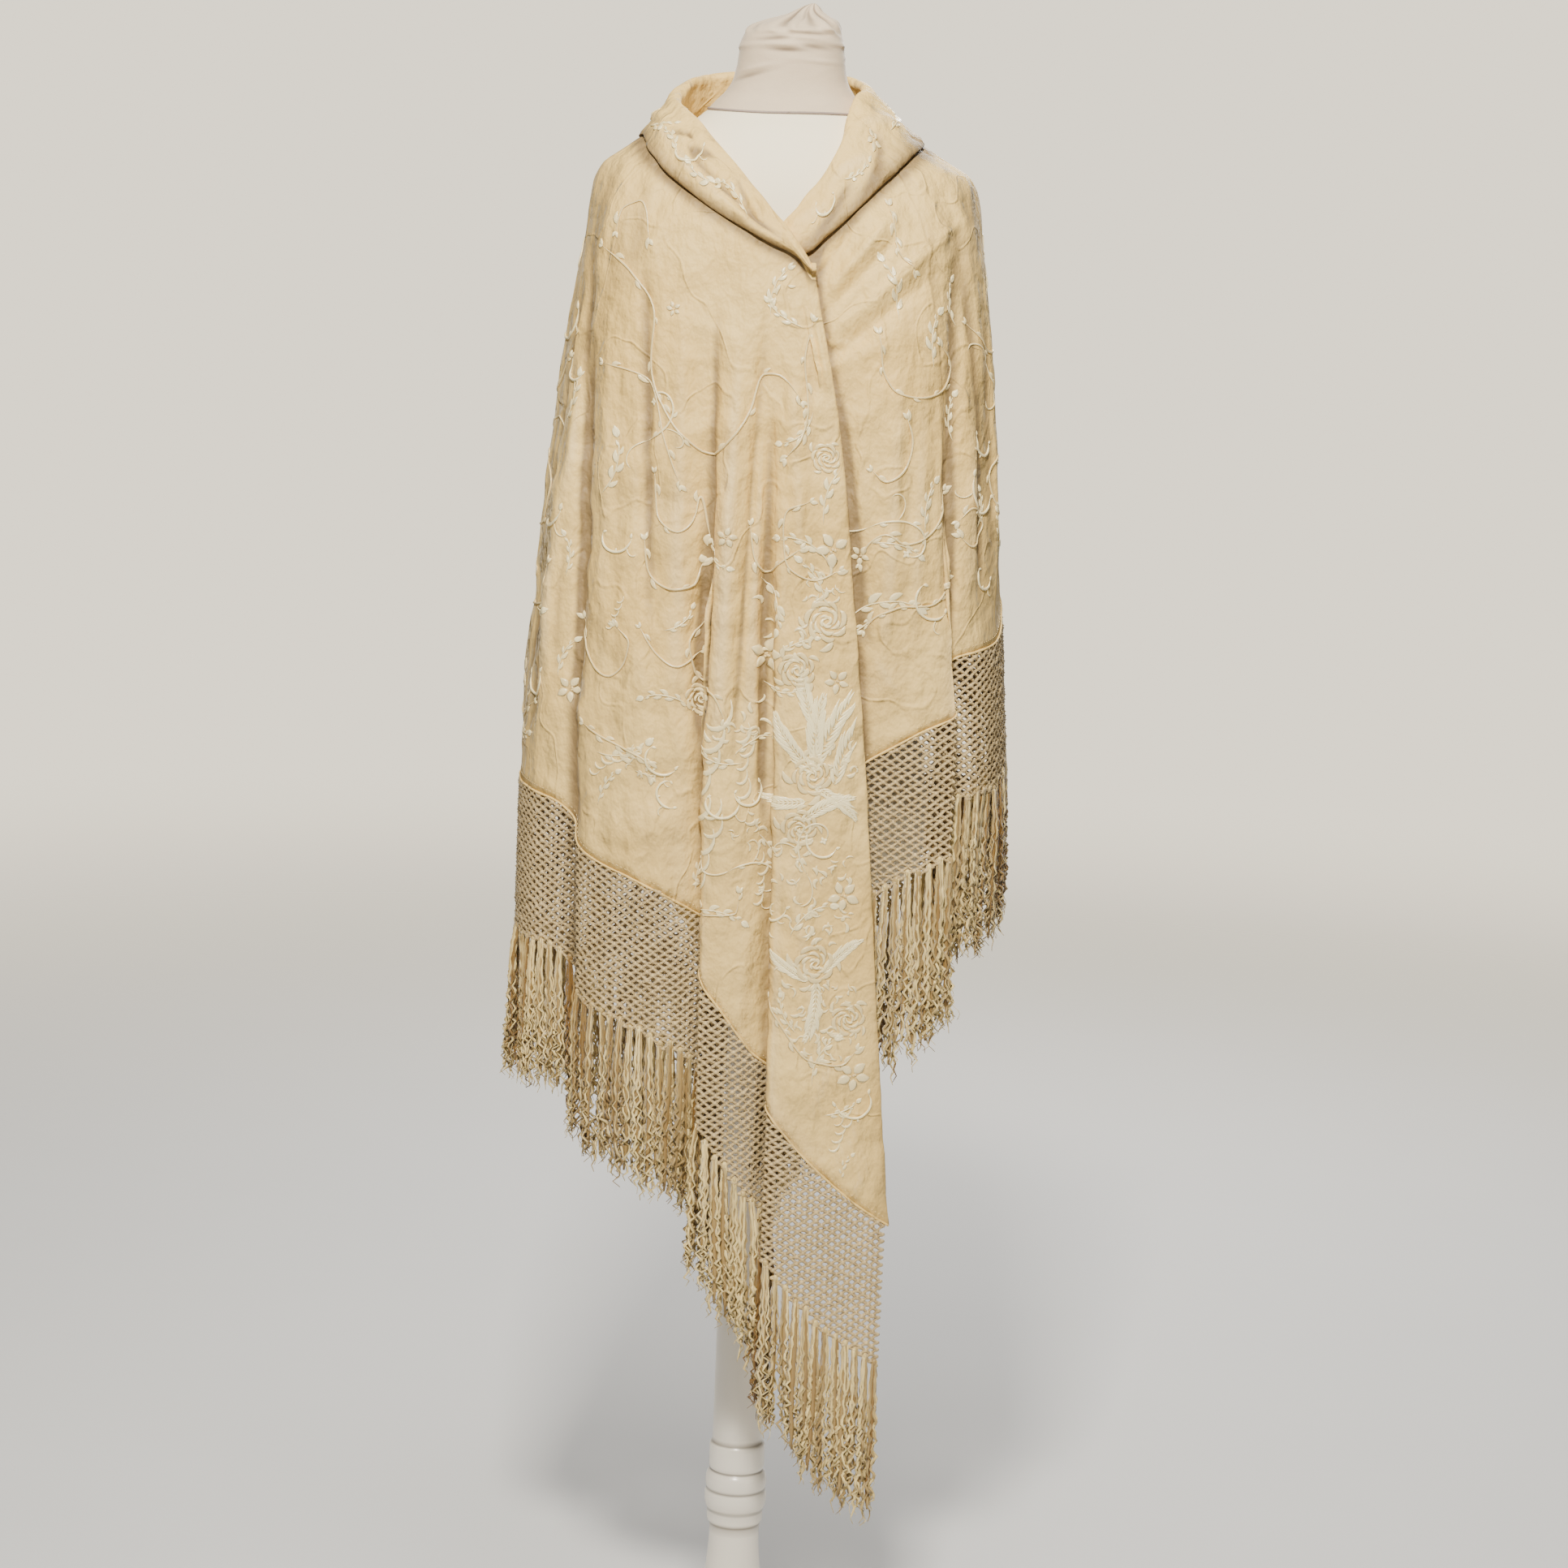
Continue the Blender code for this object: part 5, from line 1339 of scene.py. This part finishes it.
for side, motifs in MOTIFS:
    for across, up, kind, size, turn in motifs:
        anchor_column = nearest_column(side, across / 1000, up / 1000)
        work_motif(kind, size, anchor_column, up / 1000, turn, 6, sewn_point)


def joined_tubes(store, sides):
    """All the tubes of one kind as one set of points, faces, thread coordinates and shades."""
    points, faces, threads, shades = [], [], [], []
    first = 0
    for (steps, point), (_, uv), (_, shade) in zip(*store):
        faces += tube_faces(len(point), steps, sides, first)
        first += point.size // 3
        points.append(point.reshape(-1, 3))
        threads.append(uv.reshape(-1, 2))
        shades.append(shade.ravel())
    return np.concatenate(points), faces, np.concatenate(threads), np.concatenate(shades)


for name, kind, sides in (
    ("embroidered_stems", "stems", STEM_SIDES),
    ("embroidered_flowers", "petals", PETAL_SIDES),
):
    points, faces, threads, shades = joined_tubes(sewn[kind], sides)
    piece = add_piece(name, points, faces, floss, uv=threads, held={"shade": shades})
    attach(piece, "root")


# The netted band: silk cord knotted by hand into small diamond meshes, nineteen rows deep, worked
# straight onto the hem. It hangs plumb, so its rows of meshes run with the slanting hem.
MESH_ACROSS = 0.0058
MESH_DOWN = 0.0080
CORD_RADIUS = 0.0018
CORD_SIDES = 3
KNOT_RADIUS = 0.0026
KNOT_SIDES = 4
NET_DEPTH = np.interp(np.arange(columns), [right_end, right_end + 12], [0.145, 0.155])
plan_run = run_of(sheet[-1, :, :2])
cord_columns = np.interp(np.arange(0.003, plan_run[-1] - 0.002, MESH_ACROSS), plan_run, np.arange(columns))
cords = fine_walk(cord_columns)
cord_count = len(cord_columns)
odd = np.arange(cord_count) % 2
mesh_rows = np.arange(42, 148)
knot_z = mesh_rows[:, None] * MESH_DOWN + odd[None, :] * MESH_DOWN / 2
chance = np.random.default_rng(5)
loose_z = knot_z + chance.normal(0, 0.0005, knot_z.shape)
knot_point = cloth_point(cords, loose_z)
knot_beside = cloth_point({name: np.roll(cords[name], -1) for name in WALK}, loose_z)
net_way = knot_beside - knot_point
net_way[:, -1] = net_way[:, -2]


def level_ways(way):
    """Unit vectors along the net and out from it, both level."""
    way = unit(way * (1, 1, 0))
    return way, np.stack([way[..., 1], -way[..., 0], 0 * way[..., 0]], axis=-1)


net_way, net_out = level_ways(net_way)
knot_out = chance.normal(0, 0.0004, knot_z.shape) + at_column(cord_columns, lift[-1])
knot_point = knot_point + net_out * knot_out[..., None]
knotted = (knot_z < cords["hem_z"] - 0.0012) & (knot_z > cords["hem_z"] - at_column(cord_columns, NET_DEPTH))
lowest_knot = np.where(knotted, knot_z, 9.0).min(axis=0)
# Painted shade: the fold shading at the hem, carried down onto the net and the tassels.
hem_hollow = np.clip(painted_shading[-1, :columns], 0, 1)


def net_piece(name, node, first, last):
    """One stretch of the band: cords from each knot down to its two neighbours, and a fat knot at each."""
    column = np.arange(cord_count)
    within = (column >= first) & (column < last)
    dim = at_column(cord_columns, hem_hollow)
    cord_lines = []
    cord_outs = []
    cord_dims = []
    for step in (-1, 1):
        for here_odd in (0, 1):
            i = column[within & (odd == here_odd) & (column + step >= 0) & (column + step < cord_count)]
            upper = (np.arange(1, len(mesh_rows))[:, None], i[None, :])
            lower = (upper[0] - 1 + here_odd, upper[1] + step)
            start = knot_point[upper]
            end = knot_point[lower]
            hem_z = cords["hem_z"][i]
            hangs = knotted[lower] & ~knotted[upper] & (start[..., 2] > hem_z - 0.02)
            reach = np.clip((hem_z - end[..., 2]) / np.maximum(start[..., 2] - end[..., 2], 1e-4), 0, 1)
            start = np.where(hangs[..., None], end + (start - end) * reach[..., None], start)
            keep = (knotted[upper] & knotted[lower]) | hangs
            cord_lines.append(np.stack([start[keep], end[keep]], axis=1))
            cord_outs.append(np.repeat(net_out[upper][keep][:, None], 2, axis=1))
            cord_dims.append(np.broadcast_to(dim[i], keep.shape)[keep])
    lines = np.concatenate(cord_lines)
    outs = np.concatenate(cord_outs)
    size = np.full(lines.shape[:2], CORD_RADIUS) * chance.uniform(0.88, 1.12, (len(lines), 1))
    cord_points = along_tube(lines, size * 1.1, size * 0.9, outs, CORD_SIDES, np.pi / 2)
    faces = tube_faces(len(lines), 2, CORD_SIDES)
    inside = knotted & within[None, :]
    centre = knot_point[inside]
    way = net_way[inside]
    half = KNOT_RADIUS * chance.uniform(0.88, 1.12, (len(centre), 1, 1))
    knot_line = centre[:, None, :] + way[:, None, :] * np.array([-1, 0, 1])[None, :, None] * half
    knot_face = np.repeat(net_out[inside][:, None], 3, axis=1)
    fat = np.array([0.55, 1.0, 0.55])[None, :] * half[..., 0]
    knot_points = along_tube(knot_line, fat * 0.95, fat * 0.95, knot_face, KNOT_SIDES)
    faces += tube_faces(len(centre), 3, KNOT_SIDES, cord_points.size // 3)
    points = np.concatenate([cord_points.reshape(-1, 3), knot_points.reshape(-1, 3)])

    def at_points(cord_values, knot_values):
        """One value for each cord and each knot, given to all of its points."""
        of_cords = np.repeat(cord_values, 2 * CORD_SIDES)
        return np.concatenate([of_cords, np.repeat(knot_values, 3 * KNOT_SIDES)])

    along_cord = np.tile(np.repeat([0, MESH_DOWN], CORD_SIDES), len(lines))
    along_uv = np.concatenate([along_cord, np.zeros(knot_points.size // 3)])
    turn_uv = np.arange(len(points)) % CORD_SIDES * 0.002
    lot = at_points(chance.uniform(0, 0.9, len(lines)), chance.uniform(0.3, 1, len(centre)))
    dims = at_points(np.concatenate(cord_dims), np.broadcast_to(dim, inside.shape)[inside])
    held = {"lot": lot, "painted_shading": dims}
    piece = add_piece(name, points, faces, cord_silk, uv=np.stack([along_uv, turn_uv], axis=-1), held=held)
    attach(piece, "root")
    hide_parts(node)
    return piece


CORD_SHINE = {"Sheen Weight": 0.2, "Sheen Roughness": 0.4, "Specular IOR Level": 0.45}
cord_silk, wire = finish("silk_cord", CORD_SHINE)
plies = wire.place().mottle(1500.0, 1.0)
cord_lot = wire.held("lot")
grey = wire.place().mottle(16.0, 3.0)
yarn_colour = (cord_lot * 0.6 + grey * 0.4).tint((0.38, 0.27, 0.115, 1), (0.70, 0.53, 0.27, 1))
# Cords and knots under the cloth's fold troughs are coloured darker: painted shade.
yarn_colour = (wire.held("painted_shading") * 0.8).tint(yarn_colour, (0.13, 0.08, 0.025, 1))
feed(cord_silk, base_color=yarn_colour, roughness=0.5 + plies * 0.15, normal=plies.relief(0.5, 0.0006))
split_right = int(np.searchsorted(cord_columns, right_end))
split_left = int(np.searchsorted(cord_columns, back_end))
nets = [
    net_piece("netting_right_front", "net_right_front", 0, split_right),
    net_piece("netting_back", "net_back", split_right, split_left),
    net_piece("netting_left_front", "net_left_front", split_left, cord_count),
]


# The tassels: long hanks of crinkled silk yarn, knotted into the lowest row of the net. Their yarns
# hang together above and open out below, where loose ends stray.
TASSEL_PITCH = 0.0104
YARNS = 7
CORE_RINGS = 14
CORE_SIDES = 5
YARN_RINGS = 32
YARN_SIDES = 3
YARN_RADIUS = 0.0012
STRAY_RINGS = 14
STRAY_RADIUS = 0.0003
TOP_SIDES = 6
TOP_RADIUS = 0.0031
TASSEL_SHINE = {"Sheen Weight": 0.35, "Sheen Roughness": 0.3, "Specular IOR Level": 0.6}
tassel_silk, wire = finish("tassel_silk", TASSEL_SHINE)
lot = wire.held("lot")
fibres = wire.threadway().spread(60.0, 1600.0).mottle(1.0, 2.0)
shaded = wire.place().spread(1, 1, 0.3).mottle(70.0, 2.0)
strand_colour = (lot * 0.8 + shaded * 0.2).tint((0.21, 0.11, 0.024, 1), (1.0, 0.79, 0.34, 1))
feed(tassel_silk, base_color=strand_colour, roughness=0.36 + fibres * 0.14, normal=fibres.relief(0.6, 0.0006))


def hang_tassels(name, node, first_column, last_column, lengths, seed):
    """Tassels along a stretch of the net's lower edge: each a core, its yarns, its knot and stray ends."""
    chance = np.random.default_rng(seed)
    run = at_column([first_column, last_column], plan_run)
    count = int((run[1] - run[0]) / TASSEL_PITCH)
    at = run[0] + (np.arange(count) + 0.5) * (run[1] - run[0]) / count
    place = np.interp(at, plan_run, np.arange(columns))
    here = fine_walk(place)
    depth = at_column(place, NET_DEPTH)
    top = cloth_point(here, np.interp(place, cord_columns, lowest_knot) + 0.0035)
    beside = cloth_point(fine_walk(place + 0.5), here["hem_z"] - depth)
    before = cloth_point(fine_walk(place - 0.5), here["hem_z"] - depth)
    way, out = level_ways(beside - before)
    top = top + out * at_column(place, lift[-1])[:, None]
    share = np.linspace(0, 1, count)
    reach = (lengths[0] + (lengths[1] - lengths[0]) * share) * chance.uniform(0.93, 1.04, count)
    sway = np.cumsum(chance.normal(0, 0.0012, count))
    sway = sway - np.interp(np.arange(count), [0, count - 1], [sway[0], sway[-1]])
    sway = np.clip(sway, -0.006, 0.006) + chance.normal(0, 0.0030, count)
    depth_way = chance.normal(0.0012, 0.0022, count)

    def middle_line(t):
        """A tassel's middle: straight down, drifting along and out from the net, with a slow wave."""
        wave = 0.0016 * np.sin(t * wave_rate[:, None] + wave_start[:, None]) * t
        along = sway[:, None] * np.maximum(t, 0) ** 1.3 + wave
        off = depth_way[:, None] * np.minimum(t * 5, 1) + 0.0018 * np.sin(3.1 * t + wave_start[:, None]) * t
        drop = reach[:, None] * t
        line = top[:, None, :] + way[:, None, :] * along[..., None] + out[:, None, :] * off[..., None]
        line[..., 2] -= drop
        return line

    wave_rate = chance.uniform(5, 10, count)
    wave_start = chance.uniform(0, 6.28, count)
    points = []
    faces = []
    lots = []
    threads = []
    first = 0
    in_hollow = at_column(place, hem_hollow)

    def keep(line, wide, deep, sides, shades, length, whose=slice(None)):
        """Adds a tube for each tassel in whose, darker under the fold troughs of the hem: painted shade."""
        nonlocal first
        number, rings = line.shape[:2]
        tubes = along_tube(line, wide, deep, np.repeat(out[whose][:, None], rings, axis=1), sides)
        points.append(tubes.reshape(-1, 3))
        faces.extend(tube_faces(number, rings, sides, first))
        # The lot value also holds painted shade, lowered below the hem's fold troughs.
        lot = shades - 0.5 * in_hollow[whose]
        lots.append(np.broadcast_to(lot[:, None, None], (number, rings, sides)).ravel())
        along = np.linspace(0, 1, rings)[None, :, None] * length[:, None, None] + 0 * tubes[..., 0]
        around = np.arange(sides)[None, None, :] / sides * 0.012 + 0 * along
        threads.append(np.stack([along, around + shades[:, None, None]], axis=-1).reshape(-1, 2))
        first += number * rings * sides

    t = np.linspace(0, 0.93, CORE_RINGS)[None, :] * np.ones((count, 1))
    line = middle_line(t)
    body = 0.0019 + 0.0008 * np.sin(np.pi * np.clip(t * 1.2, 0, 1))
    body = (body + 0.0004 * np.sin(t * 40 + wave_start[:, None])) * np.clip((1.0 - t) * 6, 0.3, 1)
    # The core gets the darkest yarn tones: painted shade in the gaps between the yarns.
    keep(line, body * 1.2, body * 0.85, CORE_SIDES, chance.uniform(0.0, 0.12, count), reach)
    for yarn in range(YARNS):
        end = chance.uniform(0.88, 1.04, count)
        t = np.linspace(0, 1, YARN_RINGS)[None, :] * end[:, None]
        line = middle_line(t)
        around = 2 * np.pi * yarn / YARNS + chance.normal(0, 0.35, count)
        around = around[:, None] + chance.normal(0, 1.2, count)[:, None] * t
        open_out = 0.0015 + 0.0020 * np.clip(t * 3, 0, 1) + 0.0030 * np.clip(t - 0.45, 0, 1)
        crimp = 0.0004 + 0.0024 * np.clip((t - 0.15) * 1.6, 0, 1)
        kink = 2 * np.pi * t * reach[:, None] / chance.uniform(0.012, 0.020, count)[:, None]
        start = chance.uniform(0, 6.28, (3, count))[..., None]
        along = crimp * (np.sin(kink + start[0]) + 0.5 * np.sin(1.7 * kink + start[1]))
        along = open_out * 1.25 * np.cos(around) + along
        off = crimp * (np.cos(kink + start[1]) + 0.5 * np.sin(1.4 * kink + start[2]))
        off = open_out * 0.8 * np.sin(around) + off
        line = line + way[:, None, :] * along[..., None] + out[:, None, :] * off[..., None]
        thick = YARN_RADIUS * (1 + 0.25 * np.sin(kink * 0.6 + start[2]))
        thick = thick * np.clip((end[:, None] - t) * 12, 0.25, 1)
        keep(line, thick * 1.3, thick, YARN_SIDES, chance.uniform(0.0, 1.0, count), reach * end)
    strays = count * 2
    which = chance.integers(0, count, strays)
    t = np.linspace(0, 1, STRAY_RINGS)[None, :] * np.ones((strays, 1))
    begin = chance.uniform(0.45, 0.85, (strays, 1))
    line = middle_line(np.zeros((count, STRAY_RINGS)))[which]
    down = begin + (1.02 - begin) * t * chance.uniform(0.5, 1.05, (strays, 1))
    stray = chance.normal(0, 0.008, (strays, 1)) * t**1.4 + 0.0022 * np.sin(t * 14 + begin * 40)
    off = 0.002 + np.abs(chance.normal(0, 0.004, (strays, 1))) * t + 0.0018 * np.cos(t * 12 + begin * 50)
    line = line + way[which][:, None, :] * (sway[which][:, None] * begin + stray)[..., None]
    line = line + out[which][:, None, :] * off[..., None]
    line[..., 2] = top[which][:, None, 2] - reach[which][:, None] * down
    thin = np.full(t.shape, STRAY_RADIUS)
    keep(line, thin, thin, YARN_SIDES, chance.uniform(0.5, 1.0, strays), reach[which], which)
    t = np.linspace(-0.012, 0.030, 5)[None, :] * np.ones((count, 1))
    line = middle_line(t)
    swell = np.array([0.45, 0.9, 1.0, 0.85, 0.5])[None, :] * TOP_RADIUS * chance.uniform(0.9, 1.1, (count, 1))
    keep(line, swell, swell * 0.85, TOP_SIDES, chance.uniform(0.2, 0.7, count), reach * 0.04)
    held = {"lot": np.concatenate(lots)}
    piece = add_piece(name, np.concatenate(points), faces, tassel_silk, uv=np.concatenate(threads), held=held)
    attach(piece, "root")
    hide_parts(node)
    return piece


tassels = [
    hang_tassels("tassels_right_front", "fringe_right_front", 2, right_end, (0.215, 0.150), 21),
    hang_tassels("tassels_back", "fringe_back", right_end, back_end, (0.150, 0.150), 22),
    hang_tassels("tassels_left_front", "fringe_left_front", back_end, columns - 1.5, (0.150, 0.172), 23),
]
